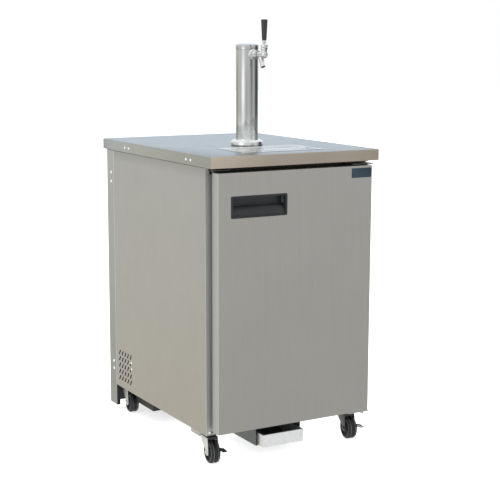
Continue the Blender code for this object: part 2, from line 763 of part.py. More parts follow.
def make_door():
    """Skin, foam, inner sheet and gasket, all hung on the hinge axis."""
    axis = pivot("door_axis", (HINGE_X, HINGE_Y, 0))
    skin_sheet = 0.001
    cup_inset = 0.005

    def front_edge(edge):
        return any(v.co.y < DOOR_FRONT + GAP for v in edge.verts)

    skin = softened(door_block(0, DOOR_FRONT, DOOR_BACK), 0.0025, front_edge)
    skin = cut(
        skin,
        door_block(skin_sheet, DOOR_FRONT + skin_sheet, DOOR_BACK + REACH),
        prism(handle_outline(cup_inset - GAP), "Y", DOOR_FRONT - REACH, DOOR_FRONT + REACH),
        pin_hole(True),
        pin_hole(False),
    )
    add_on("door_skin", skin, "brushed", axis)

    foam = cut(
        door_block(skin_sheet + GAP, DOOR_FRONT + skin_sheet + GAP, DOOR_BACK - GAP),
        prism(handle_outline(cup_inset - GAP), "Y", DOOR_FRONT - REACH, DOOR_FRONT + HANDLE_DEEP + 0.003),
        pin_hole(True),
        pin_hole(False),
    )
    add_on("door_foam", foam, "foam", axis)

    dish_inset = 0.060
    dish_depth = 0.010
    inner = joined(
        door_block(0.001, DOOR_BACK, DOOR_BACK + SHEET),
        door_block(dish_inset, DOOR_BACK + SHEET / 2, DOOR_BACK + SHEET + dish_depth),
    )
    inner = cut(inner, door_block(dish_inset + SHEET, DOOR_BACK - REACH, DOOR_BACK + dish_depth))
    add_on("door_liner", inner, "brushed", axis)

    seal_front = DOOR_BACK + SHEET + GAP
    seal_back = BODY_FRONT - 0.0005
    seal = cut(door_block(0.0125, seal_front, seal_back),
               door_block(0.0325, seal_front - REACH, seal_back + REACH))
    add_on("door_gasket", seal, "black_rubber", axis)

    bezel = prism(handle_outline(0), "Y", DOOR_FRONT - HANDLE_PROUD, DOOR_FRONT - GAP)
    cup = prism(handle_outline(cup_inset), "Y", DOOR_FRONT - HANDLE_PROUD / 2,
                DOOR_FRONT + HANDLE_DEEP + 0.002)
    side_view = [
        (DOOR_FRONT - REACH, HANDLE_TOP - cup_inset - 0.002),
        (DOOR_FRONT + HANDLE_DEEP, HANDLE_TOP - cup_inset - 0.002),
        (DOOR_FRONT + HANDLE_DEEP, HANDLE_SILL),
        (DOOR_FRONT + 0.0030, HANDLE_BOTTOM + cup_inset),
        (DOOR_FRONT - REACH, HANDLE_BOTTOM + cup_inset - 0.001),
    ]
    hollow = prism(side_view, "X", HANDLE_LEFT + cup_inset + 0.002, HANDLE_RIGHT - cup_inset - 0.002)
    add_on("door_handle", cut(joined(bezel, cup), hollow), "black_plastic", axis)

    badge_outline = rounded_rectangle(*BADGE, 0.001, 1)
    badge = prism(badge_outline, "Y", DOOR_FRONT - BADGE_PROUD, DOOR_FRONT - GAP)
    add_on("badge", badge, "badge", axis)


def make_hinges():
    """The two fixed brackets on the body's front, each with its pin."""
    face = BODY_FRONT - GAP
    plate = 0.003
    centre = (HINGE_X, HINGE_Y, 0)
    low_x, high_x = HINGE_X - 0.062, BODY_WIDTH / 2 - 0.004
    tip = HINGE_Y - 0.010
    brackets = (("top_hinge", DOOR_TOP + 0.0025, 1), ("bottom_hinge", DOOR_BOTTOM - 0.0055, -1))
    for name, start, upward in brackets:
        arm = box(low_x, high_x, tip, face, start, start + plate)
        wall = (start + plate / 2, start + 0.0115) if upward > 0 else (start - 0.0085, start + plate / 2)
        leaf = box(low_x, high_x, face - plate, face, *wall)
        if upward > 0:
            pin = cylinder(PIN_RADIUS, "Z", centre, DOOR_TOP - PIN_ENTRY + 0.001, start + plate + 0.002, 16)
        else:
            pin = cylinder(PIN_RADIUS, "Z", centre, start - 0.005, DOOR_BOTTOM + PIN_ENTRY - 0.001, 16)
        add(name, joined(arm, leaf, pin), "zinc")


# ---------------------------------------------------------------- condensate tray

def make_condensate_tray():
    """The sheet holder under the front of the body and the open tray that slides in it."""
    wall = 0.001
    top = BODY_BOTTOM - GAP
    holder = cut(
        box(HOLDER_LEFT, HOLDER_RIGHT, HOLDER_FRONT, HOLDER_BACK, HOLDER_BOTTOM, top),
        box(HOLDER_LEFT + wall, HOLDER_RIGHT - wall, HOLDER_FRONT - REACH, HOLDER_BACK - wall,
            HOLDER_BOTTOM + wall, top - wall),
    )
    add("tray_holder", holder, "dark_steel")

    slide = pivot("condensate_tray_slide", (0, DRAWER_FRONT, HOLDER_BOTTOM + wall + GAP))
    low_x, high_x = HOLDER_LEFT + 0.008, HOLDER_RIGHT - 0.008
    bottom = HOLDER_BOTTOM + wall + GAP
    tray = cut(
        box(low_x, high_x, DRAWER_FRONT, HOLDER_BACK - 0.02, bottom, DRAWER_TOP),
        box(low_x + SHEET, high_x - SHEET, DRAWER_FRONT + SHEET, HOLDER_BACK - 0.02 - SHEET,
            bottom + SHEET, DRAWER_TOP + REACH),
    )
    add_on("condensate_tray", tray, "galvanised", slide)


# ---------------------------------------------------------------- draft tower and faucet

def make_tower():
    """Foot flange, column, lift-off cap and the beer line inside."""
    centre = (0, TOWER_Y, 0)
    bottom = TOP_HEIGHT + GAP
    bore = TOWER_RADIUS + GAP
    flange = [
        (FLANGE_RADIUS - 0.0035, bottom),
        (FLANGE_RADIUS, bottom + 0.0040),
        (FLANGE_RADIUS, bottom + 0.0140),
        (FLANGE_RADIUS - 0.0020, bottom + 0.0180),
        (FLANGE_RADIUS - 0.0060, bottom + FLANGE_HEIGHT),
        (bore + 0.0015, bottom + FLANGE_HEIGHT),
        (bore, bottom + FLANGE_HEIGHT - 0.0015),
        (bore, bottom),
    ]
    add("tower_flange", turned(flange, "Z", centre, 36), "polished")

    column = tube(TOWER_RADIUS, TOWER_RADIUS - TOWER_WALL, "Z", centre, bottom, TOWER_TOP, 36)
    hole = cylinder(SHANK_RADIUS + GAP, "Y", (0, TOWER_Y, FAUCET_Z), -2 * TOWER_RADIUS, 0, 20)
    add("tower_column", cut(column, hole), "polished")

    shell = TOWER_RADIUS - TOWER_WALL - GAP
    cap = [
        (0, CAP_TOP),
        (0.0180, CAP_TOP - 0.0004),
        (0.0300, CAP_TOP - 0.0014),
        (TOWER_RADIUS - 0.0013, CAP_TOP - 0.0032),
        (TOWER_RADIUS + 0.0008, CAP_TOP - 0.0056),
        (TOWER_RADIUS + 0.0008, TOWER_TOP + GAP),
        (shell, TOWER_TOP + GAP),
        (shell, TOWER_TOP - 0.0035),
        (shell - 0.0015, TOWER_TOP - 0.0035),
        (shell - 0.0015, CAP_TOP - 0.0056),
        (0.0290, CAP_TOP - 0.0030),
        (0, CAP_TOP - 0.0016),
    ]
    add("tower_cap", turned(cap, "Z", centre, 36), "polished")

    bend = 0.015
    start_y = SHANK_TAIL + 0.001
    turn = [(start_y + bend * math.sin(a), FAUCET_Z - bend + bend * math.cos(a))
            for a in [math.radians(15 * i) for i in range(7)]]
    top_z = FAUCET_Z - bend
    end_z = INNER_TOP - 0.022
    steps = 12
    drop = []
    for i in range(1, steps + 1):
        t = i / steps
        eased = min(1.0, 2.2 * t)
        eased = eased * eased * (3 - 2 * eased)
        drop.append((start_y + bend + (TOWER_Y - start_y - bend) * eased, top_z + (end_z - top_z) * t))
    path = [(0, y, z) for y, z in turn + drop]
    add("beer_line", swept(path, 0.0048, 8), "clear_hose")


def make_faucet():
    """Shank, coupling nut, faucet body, bonnet, lever, handle and the plunger that the lever moves."""
    centre = (0, 0, FAUCET_Z)
    plate = TOWER_Y - TOWER_RADIUS - GAP
    shank = [
        (SHANK_RADIUS, SHANK_END),
        (SHANK_RADIUS, plate - 0.003),
        (0.0152, plate - 0.003),
        (0.0152, plate),
        (SHANK_RADIUS, plate),
        (SHANK_RADIUS, SHANK_TAIL - 0.012),
        (0.0060, SHANK_TAIL - 0.011),
        (0.0060, SHANK_TAIL),
        (0.0040, SHANK_TAIL),
        (0.0040, -0.1395),
        (0.0080, -0.1405),
        (0.0080, SHANK_END),
    ]
    add("shank", turned(shank, "Y", centre, 20), "polished")

    rear = SHANK_END - GAP
    nut = [
        (0.0152, -0.1345),
        (0.0152, rear - 0.0085),
        (0.0108, rear - 0.0085),
        (0.0108, rear - 0.0065),
        (0.0128, rear - 0.0065),
        (0.0128, rear),
        (SHANK_RADIUS + GAP, rear),
        (SHANK_RADIUS + GAP, -0.1345),
    ]
    add("coupling_nut", turned(nut, "Y", centre, 20), "polished")

    housing_top = PIVOT_Z - 0.0048
    housing = (0, TAP_Y, 0)
    barrel = turned([(0, TAP_Y), (0.0103, TAP_Y), (0.0103, rear - 0.003), (0.0125, rear - 0.003),
                     (0.0125, rear), (0, rear)], "Y", centre, 20)
    tower = turned([(0, 1.3125), (0.0085, 1.3135), (0.0122, 1.3185), (0.0122, housing_top),
                    (0, housing_top)], "Z", housing, 20)
    mouth = Vector((0, -0.1975, 1.2865))
    root = Vector((0, -0.1810, 1.3215))
    spout = swept([root, mouth], 0.0078, 14)
    spout_bore = swept([root, mouth + (mouth - root) * 0.3], 0.0055, 12)
    bore = turned([(0, TAP_Y - 0.0092), (0.0080, TAP_Y - 0.0092), (0.0080, -0.1660), (0.0062, -0.1660),
                   (0.0062, rear + REACH), (0, rear + REACH)], "Y", centre, 16)
    body = cut(
        joined(barrel, tower, spout),
        box(-0.0024, 0.0024, TAP_Y, TAP_Y + 0.0112, FAUCET_Z + 0.002, PIVOT_Z - 0.0130),
        bore,
        cylinder(0.0086, "Z", housing, FAUCET_Z + 0.001, housing_top + REACH, 16),
        spout_bore,
    )
    add("faucet_body", body, "polished")

    bonnet = [
        (0.0108, housing_top + GAP),
        (0.0120, housing_top + 0.0020),
        (0.0120, housing_top + 0.0100),
        (0.0112, housing_top + 0.0120),
        (0.0090, housing_top + 0.0120),
        (0.0090, housing_top + GAP),
    ]
    add("faucet_bonnet", turned(bonnet, "Z", housing, 20), "polished")

    axis = pivot("tap_axis", (0, TAP_Y, PIVOT_Z))
    arm = 0.0018
    ball = 0.0083
    neck = 0.0032
    reach = -0.0310
    low_angle = math.degrees(math.asin(arm / ball)) - 90
    high_angle = 90 - math.degrees(math.asin(neck / ball))
    lever = [(0, reach), (arm, reach)]
    lever += arc((0, 0), ball, low_angle, high_angle, 6)
    lever += [(neck, 0.0108), (0.0055, 0.0112), (0.0064, 0.0145), (0.0073, 0.0197), (0.0033, 0.0197),
              (0.0033, 0.0450), (0, 0.0450)]
    add_on("faucet_lever", turned(lever, "Z", (0, TAP_Y, PIVOT_Z), 16), "polished", axis)

    foot = PIVOT_Z + 0.0200
    knob = [
        (0, foot),
        (0.0073, foot),
        (0.0080, foot + 0.012),
        (0.0106, HANDLE_KNOB_TOP - 0.006),
        (0.0109, HANDLE_KNOB_TOP - 0.003),
        (0.0095, HANDLE_KNOB_TOP - 0.0004),
        (0.0060, HANDLE_KNOB_TOP),
        (0, HANDLE_KNOB_TOP),
    ]
    outer = turned(knob, "Z", housing, 20)
    socket = cylinder(0.0037, "Z", housing, foot - REACH, PIVOT_Z + 0.0460, 16)
    add_on("tap_handle", cut(outer, socket), "black_plastic", axis)

    slide = pivot("plunger_slide", (0, TAP_Y, FAUCET_Z))
    seat = SHANK_END + GAP
    rod = turned([(0, TAP_Y - 0.0085), (0.0042, TAP_Y - 0.0085), (0.0042, seat), (0.0070, seat),
                  (0.0070, seat + 0.003), (0, seat + 0.003)], "Y", centre, 16)
    slot = box(-0.0022, 0.0022, TAP_Y - 0.0052, TAP_Y + 0.0052, FAUCET_Z - REACH, FAUCET_Z + REACH)
    add_on("faucet_plunger", cut(rod, slot), "polished", slide)


# ---------------------------------------------------------------- casters

PLATE_TOP = BODY_BOTTOM - GAP
PLATE_THICK = 0.003
HEAD_TOP = 0.0935
LEG_TOP = 0.0870
LEG_INSIDE = 0.0175
LEG_SHEET = 0.0025
AXLE_RADIUS = 0.004
BOLT_RADIUS = 0.006


def caster_plate():
    """The mounting plate with its ball race."""
    low = PLATE_TOP - PLATE_THICK
    outline = rounded_rectangle(-0.033, 0.033, -0.044, 0.044, 0.006, 2)
    race = cylinder(0.0185, "Z", (0, 0, 0), HEAD_TOP + GAP, low + 0.001, 20)
    return joined(prism(outline, "Z", low, PLATE_TOP), race)


def caster_fork():
    """The swivelling fork with its axle bolt."""
    leg_outline = [(0.028, LEG_TOP), (-0.029, LEG_TOP)]
    leg_outline += arc((-TRAIL, WHEEL_RADIUS), 0.0115, 180, 360, 6)
    outer = LEG_INSIDE + LEG_SHEET
    web = box(-outer, outer, -0.029, 0.028, LEG_TOP - 0.003, LEG_TOP + 0.0005)
    fork = joined(cylinder(0.0235, "Z", (0, 0, 0), LEG_TOP - 0.001, HEAD_TOP, 20), web)
    for side in (-1, 1):
        fork = joined(fork, prism(leg_outline, "X", side * LEG_INSIDE, side * outer))
    centre = (0, -TRAIL, WHEEL_RADIUS)
    axle = cylinder(AXLE_RADIUS, "X", centre, -outer - 0.001, outer + 0.001, 12)
    fork = joined(fork, axle)
    for side in (-1, 1):
        ends = sorted((side * (outer - 0.001), side * (outer + 0.004)))
        fork = joined(fork, cylinder(BOLT_RADIUS, "X", centre, *ends, 12))
    return fork


def caster_wheel():
    """Tyre and hub, with a flat of the tread on the floor."""
    segments = 22
    rim = WHEEL_RADIUS / math.cos(math.pi / segments)
    half = WHEEL_WIDTH / 2
    side = [
        (rim, half - 0.0050),
        (rim - 0.0045, half),
        (0.0265, half),
        (0.0250, half - 0.004),
        (0.0112, half - 0.004),
        (AXLE_RADIUS + GAP, half + 0.001),
    ]
    profile = side + [(radius, -x) for radius, x in reversed(side)]
    return turned(profile, "X", (0, 0, 0), segments)


def brake_pedal():
    """The foot lever that hangs on one end of the axle bolt and reaches across the tyre."""
    outer = LEG_INSIDE + LEG_SHEET
    low, high = outer + 0.0008, outer + 0.0028
    eye = cylinder(0.0105, "X", (0, 0, 0), low, high, 12)
    strap = prism([(0.002, -0.0065), (0.002, 0.0065), (-0.044, 0.0215), (-0.073, 0.0200), (-0.073, 0.0160),
                   (-0.046, 0.0140)], "X", low, high)
    arm = joined(eye, strap)
    arm = cut(arm, cylinder(BOLT_RADIUS + GAP, "X", (0, 0, 0), low - REACH, high + REACH, 12))
    step = box(-0.0040, high - 0.0002, -0.0728, -0.0440, 0.0164, 0.0186)
    return joined(step, arm)


def make_casters():
    """Four casters; the front two have brakes. Copies share their meshes' shape."""
    plate, fork, wheel, pedal = caster_plate(), caster_fork(), caster_wheel(), brake_pedal()
    for corner, (x, y, turn) in CASTERS.items():
        swivel = pivot("swivel_axis_" + corner, (x, y, 0), turn)
        axle = pivot("axle_axis_" + corner, (0, -TRAIL, WHEEL_RADIUS), 0, swivel)
        fixed = pivot("caster_spot_" + corner, (x, y, 0))
        add("caster_plate_" + corner, plate, "zinc", fixed)
        add("caster_fork_" + corner, fork, "zinc", swivel)
        add("caster_wheel_" + corner, wheel, "black_rubber", axle)
        if corner.startswith("front"):
            add("caster_brake_" + corner, pedal, "zinc", axle)


def clear_scene():
    """Removes what the file holds before the model is made."""
    for item in list(bpy.data.objects):
        bpy.data.objects.remove(item)


clear_scene()
make_worktop()
make_drip_tray()
make_side_panels()
make_body()
make_rear_cover()
make_machine_base()
make_condenser()
make_compressor()
make_evaporator()
make_thermostat()
make_door()
make_hinges()
make_condensate_tray()
make_tower()
make_faucet()
make_casters()
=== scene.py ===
import json
import math

import bmesh
import bpy
from mathutils import Matrix, Quaternion, Vector


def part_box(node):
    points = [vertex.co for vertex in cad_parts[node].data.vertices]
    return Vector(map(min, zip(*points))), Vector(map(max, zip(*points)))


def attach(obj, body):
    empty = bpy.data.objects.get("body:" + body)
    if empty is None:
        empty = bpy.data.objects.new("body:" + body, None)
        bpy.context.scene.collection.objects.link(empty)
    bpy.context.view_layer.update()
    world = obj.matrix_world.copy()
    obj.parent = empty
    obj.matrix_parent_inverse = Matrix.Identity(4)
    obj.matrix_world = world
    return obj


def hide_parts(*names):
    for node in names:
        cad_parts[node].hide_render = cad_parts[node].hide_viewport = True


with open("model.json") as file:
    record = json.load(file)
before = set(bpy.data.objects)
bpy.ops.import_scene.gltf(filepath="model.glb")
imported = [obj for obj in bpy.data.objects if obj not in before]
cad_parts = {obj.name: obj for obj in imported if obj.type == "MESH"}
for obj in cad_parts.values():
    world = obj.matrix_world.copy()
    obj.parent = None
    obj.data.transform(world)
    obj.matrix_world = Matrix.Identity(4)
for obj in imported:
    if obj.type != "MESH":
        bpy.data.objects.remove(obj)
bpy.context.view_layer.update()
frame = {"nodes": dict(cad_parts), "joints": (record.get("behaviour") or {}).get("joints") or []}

NODES = frame["nodes"]
JOINTS = {joint["name"]: joint for joint in frame["joints"]}
CORNERS = ("front_left", "front_right", "rear_left", "rear_right")


# ---- camera and studio

def add_object(name, data):
    """A new object in the scene."""
    made = bpy.data.objects.new(name, data)
    bpy.context.scene.collection.objects.link(made)
    return made


def make_camera():
    """The camera, at the front left and above the worktop's height."""
    yaw, pitch, roll = math.radians(29.61), math.radians(-9.546), math.radians(0.156)
    flat = math.cos(pitch)
    ahead = Vector((math.sin(yaw) * flat, math.cos(yaw) * flat, math.sin(pitch)))
    camera = add_object("camera", bpy.data.cameras.new("camera"))
    camera.rotation_mode = "QUATERNION"
    camera.location = (-2.1449, -3.8853, 1.384)
    camera.rotation_quaternion = ahead.to_track_quat("-Z", "Y") @ Quaternion((0, 0, 1), roll)
    camera.data.sensor_width = 36.0
    camera.data.lens = 91.5
    bpy.context.scene.camera = camera


def compass(azimuth, elevation):
    """A direction from its angle round +Z from +X and its height, in degrees."""
    a, e = math.radians(azimuth), math.radians(elevation)
    return (math.cos(a) * math.cos(e), math.sin(a) * math.cos(e), math.sin(e))


# Soft panels and flags of the studio: direction, how tight, and the light that each adds
STUDIO_BASE = (0.6, 0.6, 0.6)
STUDIO = (
    (compass(0, 90), 1.5, (0.4, 0.41, 0.42)),
    (compass(62, 6), 4.0, (0.26, 0.36, 0.46)),
    (compass(122, -6), 5.0, (0.16, 0.12, 0.03)),
    (compass(-161, 2), 26.0, (0.86, 0.89, 0.87)),
    (compass(-12, 6), 12.0, (-0.54, -0.54, -0.54)),
)


def fill(tree, socket, value):
    """Links an output into a socket, or sets a constant there."""
    if isinstance(value, bpy.types.NodeSocket):
        tree.links.new(value, socket)
    elif isinstance(value, tuple) and len(value) == 3 and socket.type == "RGBA":
        socket.default_value = (*value, 1.0)
    else:
        socket.default_value = value


def add_node(tree, kind, inputs=None, **settings):
    """Adds a shader node, links or sets its inputs, and gives its outputs."""
    node = tree.nodes.new("ShaderNode" + kind)
    for name, value in settings.items():
        setattr(node, name, value)
    for socket, value in (inputs or {}).items():
        fill(tree, node.inputs[socket], value)
    return node.outputs


def make_studio():
    """White backdrop, soft light from all round, one soft lamp above and a pale floor."""
    scene = bpy.context.scene
    scene.view_settings.view_transform = "Standard"
    world = bpy.data.worlds.new("studio")
    scene.world = world
    world.use_nodes = True
    tree = world.node_tree
    tree.nodes.clear()
    direction = add_node(tree, "TexCoord")["Generated"]
    total = STUDIO_BASE
    for where, power, light in STUDIO:
        dot = add_node(tree, "VectorMath", {0: direction, 1: where}, operation="DOT_PRODUCT")["Value"]
        front = add_node(tree, "Math", {0: dot, 1: 0.0}, operation="MAXIMUM")[0]
        lobe = add_node(tree, "Math", {0: front, 1: power}, operation="POWER")[0]
        glow = add_node(tree, "VectorMath", {0: light, "Scale": lobe}, operation="SCALE")[0]
        total = add_node(tree, "VectorMath", {0: glow, 1: total}, operation="ADD")[0]
    soft = add_node(tree, "Background", {"Color": total})[0]
    white = add_node(tree, "Background", {"Color": (1.0, 1.0, 1.0)})[0]
    seen = add_node(tree, "LightPath")["Is Camera Ray"]
    either = add_node(tree, "MixShader", {0: seen, 1: soft, 2: white})[0]
    add_node(tree, "OutputWorld", {"Surface": either})

    lamp = add_object("overhead", bpy.data.lights.new("overhead", "AREA"))
    lamp.data.shape = "SQUARE"
    lamp.data.size = 5.0
    lamp.data.energy = 190.0
    lamp.location = (-0.6, -0.8, 4.2)
    lamp.rotation_mode = "QUATERNION"
    lamp.rotation_quaternion = (Vector((0, 0, 0.2)) - lamp.location).to_track_quat("-Z", "Y")
    lamp.visible_glossy = False

    bm = bmesh.new()
    bmesh.ops.create_grid(bm, x_segments=1, y_segments=1, size=25.0)
    mesh = bpy.data.meshes.new("floor")
    bm.to_mesh(mesh)
    bm.free()
    floor = add_object("floor", mesh)
    shade = Shader("floor_paint", 0.9)
    shade.set("Base Color", shade.blend(shade.noise(1.5), (0.9, 0.9, 0.9), (0.93, 0.93, 0.93)))
    shade.set("Emission Color", (1.0, 1.0, 1.0))
    shade.set("Emission Strength", 0.7)
    mesh.materials.append(shade.material)
    floor.visible_glossy = False


# ---- materials

# The colour sockets of a Mix node, whose names repeat
MIX_FIRST, MIX_SECOND, MIX_RESULT = 6, 7, 2

# How squarely a face has to look some way before another tint, painted light and shade, starts, and when that
# tint is full
FACING_START, FACING_FULL = 0.75, 0.97


class Shader:
    """A Principled material, with short calls for the nodes behind it. Coordinates are in metres."""

    def __init__(self, name, roughness, metallic=0.0):
        self.material = bpy.data.materials.new(name)
        self.material.use_nodes = True
        self.tree = self.material.node_tree
        self.set("Roughness", roughness)
        self.set("Metallic", metallic)
        coordinates = self.add("TexCoord")
        self.place = coordinates["Object"]
        self.facing = coordinates["Normal"]

    def set(self, name, value):
        """Links or sets an input of the surface."""
        fill(self.tree, self.tree.nodes["Principled BSDF"].inputs[name], value)

    def add(self, kind, inputs=None, **settings):
        return add_node(self.tree, kind, inputs, **settings)

    def noise(self, scale, detail=2.0, roughness=0.5):
        """Soft noise, 0 to 1. scale is one number, or one for each axis."""
        scale = scale if isinstance(scale, tuple) else (scale,) * 3
        place = self.add("Mapping", {"Scale": scale, "Vector": self.place})[0]
        inputs = {"Scale": 1.0, "Detail": detail, "Roughness": roughness, "Vector": place}
        return self.add("TexNoise", inputs)["Fac"]

    def cells(self, scale):
        """Cells that each have their own value, 0 to 1."""
        return self.part(self.add("TexVoronoi", {"Scale": scale, "Vector": self.place})["Color"], 0)

    def spread(self, source, low, high, from_low=0.3, from_high=0.7):
        """A value mapped from one range to another, and held inside it."""
        limits = {"From Min": from_low, "From Max": from_high, "To Min": low, "To Max": high}
        return self.add("MapRange", {"Value": source, **limits})[0]

    def part(self, source, axis):
        """One component of a vector or colour."""
        return self.add("SeparateXYZ", {0: source})[axis]

    def by_height(self, limits, below=0.0, above=1.0):
        """One value below some heights and another above them, with a slope between."""
        return self.spread(self.part(self.place, 2), below, above, *limits)

    def sum(self, first, second, operation="ADD"):
        """Two values added, or combined some other way."""
        return self.add("Math", {0: first, 1: second}, operation=operation)[0]

    def blend(self, factor, first, second, mode="MIX"):
        """Two colours mixed."""
        inputs = {"Factor": factor, MIX_FIRST: first, MIX_SECOND: second}
        return self.add("Mix", inputs, data_type="RGBA", blend_type=mode)[MIX_RESULT]

    def towards(self, direction, power):
        """How much the surface faces a direction, 0 to 1."""
        dot = self.add("VectorMath", {0: self.facing, 1: direction}, operation="DOT_PRODUCT")["Value"]
        return self.sum(self.sum(dot, 0.0, "MAXIMUM"), power, "POWER")

    def on_face(self, direction, elsewhere=0.0, there=1.0):
        """One value on the faces that look some way, and another elsewhere."""
        return self.spread(self.towards(direction, 1.0), elsewhere, there, FACING_START, FACING_FULL)

    def bump(self, height, strength, distance):
        inputs = {"Height": height, "Strength": strength, "Distance": distance}
        self.set("Normal", self.add("Bump", inputs)[0])


def scaled(colour, factor):
    """A colour made lighter or darker."""
    return tuple(channel * factor for channel in colour)


# How fine the fibres of the steel are along each axis, by the way that they run
GRAIN = {"X": (9.0, 900.0, 900.0), "Z": (900.0, 900.0, 9.0)}
COARSE = {"X": (3.0, 210.0, 210.0), "Z": (210.0, 210.0, 3.0)}

# Heights and distances from the middle, in metres, over which painted light and shade change
LOW_TINT = (0.15, 0.9)
OVERHANG_TINT = (0.938, 0.978)
END_TINT = (0.1, 0.31)
FOOT_TINT = (1.045, 1.13)

# How metallic the matt faces and the column's foot are; the rest of the steel is at 1
MATT_METALLIC = 0.35
FOOT_METALLIC = 0.68


def brushed(name, tint, roughness, grain="Z", low_light_tint=None, overhang_shadow_tint=None, faces=(), ends=None, matt=None):
    """Brushed steel: fine and coarse grain, faint clouds, and handling marks.

    low_light_tint is painted light on the foot, a tone by height for how the light falls there, and
    overhang_shadow_tint a painted shadow over the last of the height, under the worktop's overhang. faces
    gives painted light and shade: other tints to the faces that look some way, as each catches the light.
    ends paints brighter reflections on the left and right ends of one face, and matt is a way that is less
    mirror-like.
    """
    shade = Shader(name, roughness, 1.0)
    fine = shade.noise(GRAIN[grain], 3.0)
    coarse = shade.noise(COARSE[grain], 2.0)
    cloud = shade.noise(4.5, 3.0)
    colour = tint
    # painted light: the lower part toned by height, for how the light falls there
    if low_light_tint:
        colour = shade.blend(shade.by_height(LOW_TINT), low_light_tint, tint)
    # painted shadow under the worktop's overhang
    if overhang_shadow_tint:
        colour = shade.blend(shade.by_height(OVERHANG_TINT), colour, overhang_shadow_tint)
    # painted light and shade: each face tinted by the way it looks
    for direction, face_tint in faces:
        colour = shade.blend(shade.on_face(direction), colour, face_tint)
    # painted reflection: the two ends of one face made brighter
    if ends:
        off_centre = shade.sum(shade.part(shade.place, 0), 0.0, "ABSOLUTE")
        far = shade.spread(off_centre, 0.0, 1.0, *END_TINT)
        colour = shade.blend(shade.sum(far, shade.on_face(ends[0]), "MULTIPLY"), colour, ends[1])
    if matt:
        shade.set("Metallic", shade.on_face(matt, 1.0, MATT_METALLIC))
    tone = shade.sum(shade.spread(fine, 0.965, 1.03), shade.spread(coarse, 0.985, 1.012), "MULTIPLY")
    tone = shade.sum(tone, shade.spread(cloud, 0.985, 1.012), "MULTIPLY")
    wash = shade.add("CombineXYZ", {0: tone, 1: tone, 2: tone})[0]
    shade.set("Base Color", shade.blend(1.0, colour, wash, "MULTIPLY"))
    marks = shade.spread(shade.noise(23.0, 4.0, 0.6), -0.02, 0.05, 0.45, 0.8)
    shade.set("Roughness", shade.sum(shade.spread(fine, roughness - 0.05, roughness + 0.06), marks))
    shade.bump(fine, 0.1, 0.0003)
    return shade.material


def polished(name, tint, roughness, ripple=0.0, streaks=None, reflection_bands=(), foot_light_tint=None):
    """Chrome or polished steel: faint swirls, fine wear and slow ripples in the surface.

    bands are painted dark reflections: the azimuth and height that each faces, how narrow it is and its tone.
    foot_light_tint is painted light on the foot of the column, which would otherwise mirror the worktop too
    darkly.
    """
    shade = Shader(name, roughness, 1.0)
    swirl = shade.noise(COARSE[streaks], 3.0) if streaks else shade.noise(160.0, 4.0, 0.6)
    colour = shade.blend(shade.spread(swirl, 0.0, 1.0), scaled(tint, 0.9), tint)
    # painted light: the foot lightened, and made less metallic
    if foot_light_tint:
        foot = shade.by_height(FOOT_TINT, 1.0, 0.0)
        colour = shade.blend(foot, colour, foot_light_tint)
        shade.set("Metallic", shade.spread(foot, 1.0, FOOT_METALLIC, 0.0, 1.0))
    # painted reflections: darker bands on the faces that look some ways
    for azimuth, height, power, tone in reflection_bands:
        colour = shade.blend(shade.towards(compass(azimuth, height), power), colour, scaled(tint, tone))
    shade.set("Base Color", colour)
    wear = shade.noise(35.0, 3.0, 0.6)
    shade.set("Roughness", shade.spread(wear, max(0.03, roughness - 0.03), roughness + 0.05))
    shade.bump(shade.noise(30.0 if ripple else 420.0, 2.0), 0.5 if ripple else 0.06, ripple or 0.0002)
    return shade.material


def galvanised(name, tint, roughness, size=90.0, least=0.8, metallic=1.0):
    """Zinc-coated sheet: spangles of slightly different tone and gloss."""
    shade = Shader(name, roughness, metallic)
    spangle = shade.cells(size)
    shade.set("Base Color", shade.blend(spangle, scaled(tint, least), scaled(tint, 1.06)))
    gloss = shade.spread(spangle, roughness - 0.08, roughness + 0.08, 0.0, 1.0)
    dull = shade.spread(shade.noise(14.0, 3.0), -0.02, 0.05)
    shade.set("Roughness", shade.sum(gloss, dull))
    shade.bump(shade.noise(300.0, 3.0), 0.08, 0.0003)
    return shade.material


def moulded(name, tint, roughness, grain, depth=0.00015):
    """Moulded plastic, rubber or paint: fine texture and slow tone changes."""
    shade = Shader(name, roughness)
    cloud = shade.noise(18.0, 3.0)
    colour = shade.blend(shade.spread(cloud, 0.0, 1.0), scaled(tint, 0.85), scaled(tint, 1.15))
    shade.set("Base Color", colour)
    texture = shade.noise(grain, 3.0)
    shade.set("Roughness", shade.spread(texture, roughness - 0.05, min(1.0, roughness + 0.1)))
    shade.bump(texture, 0.25, depth)
    return shade.material


LEFT, FRONT, UP = (-1, 0, 0), (0, -1, 0), (0, 0, 1)
FRONT_LEFT = (-0.7071, -0.7071, 0)

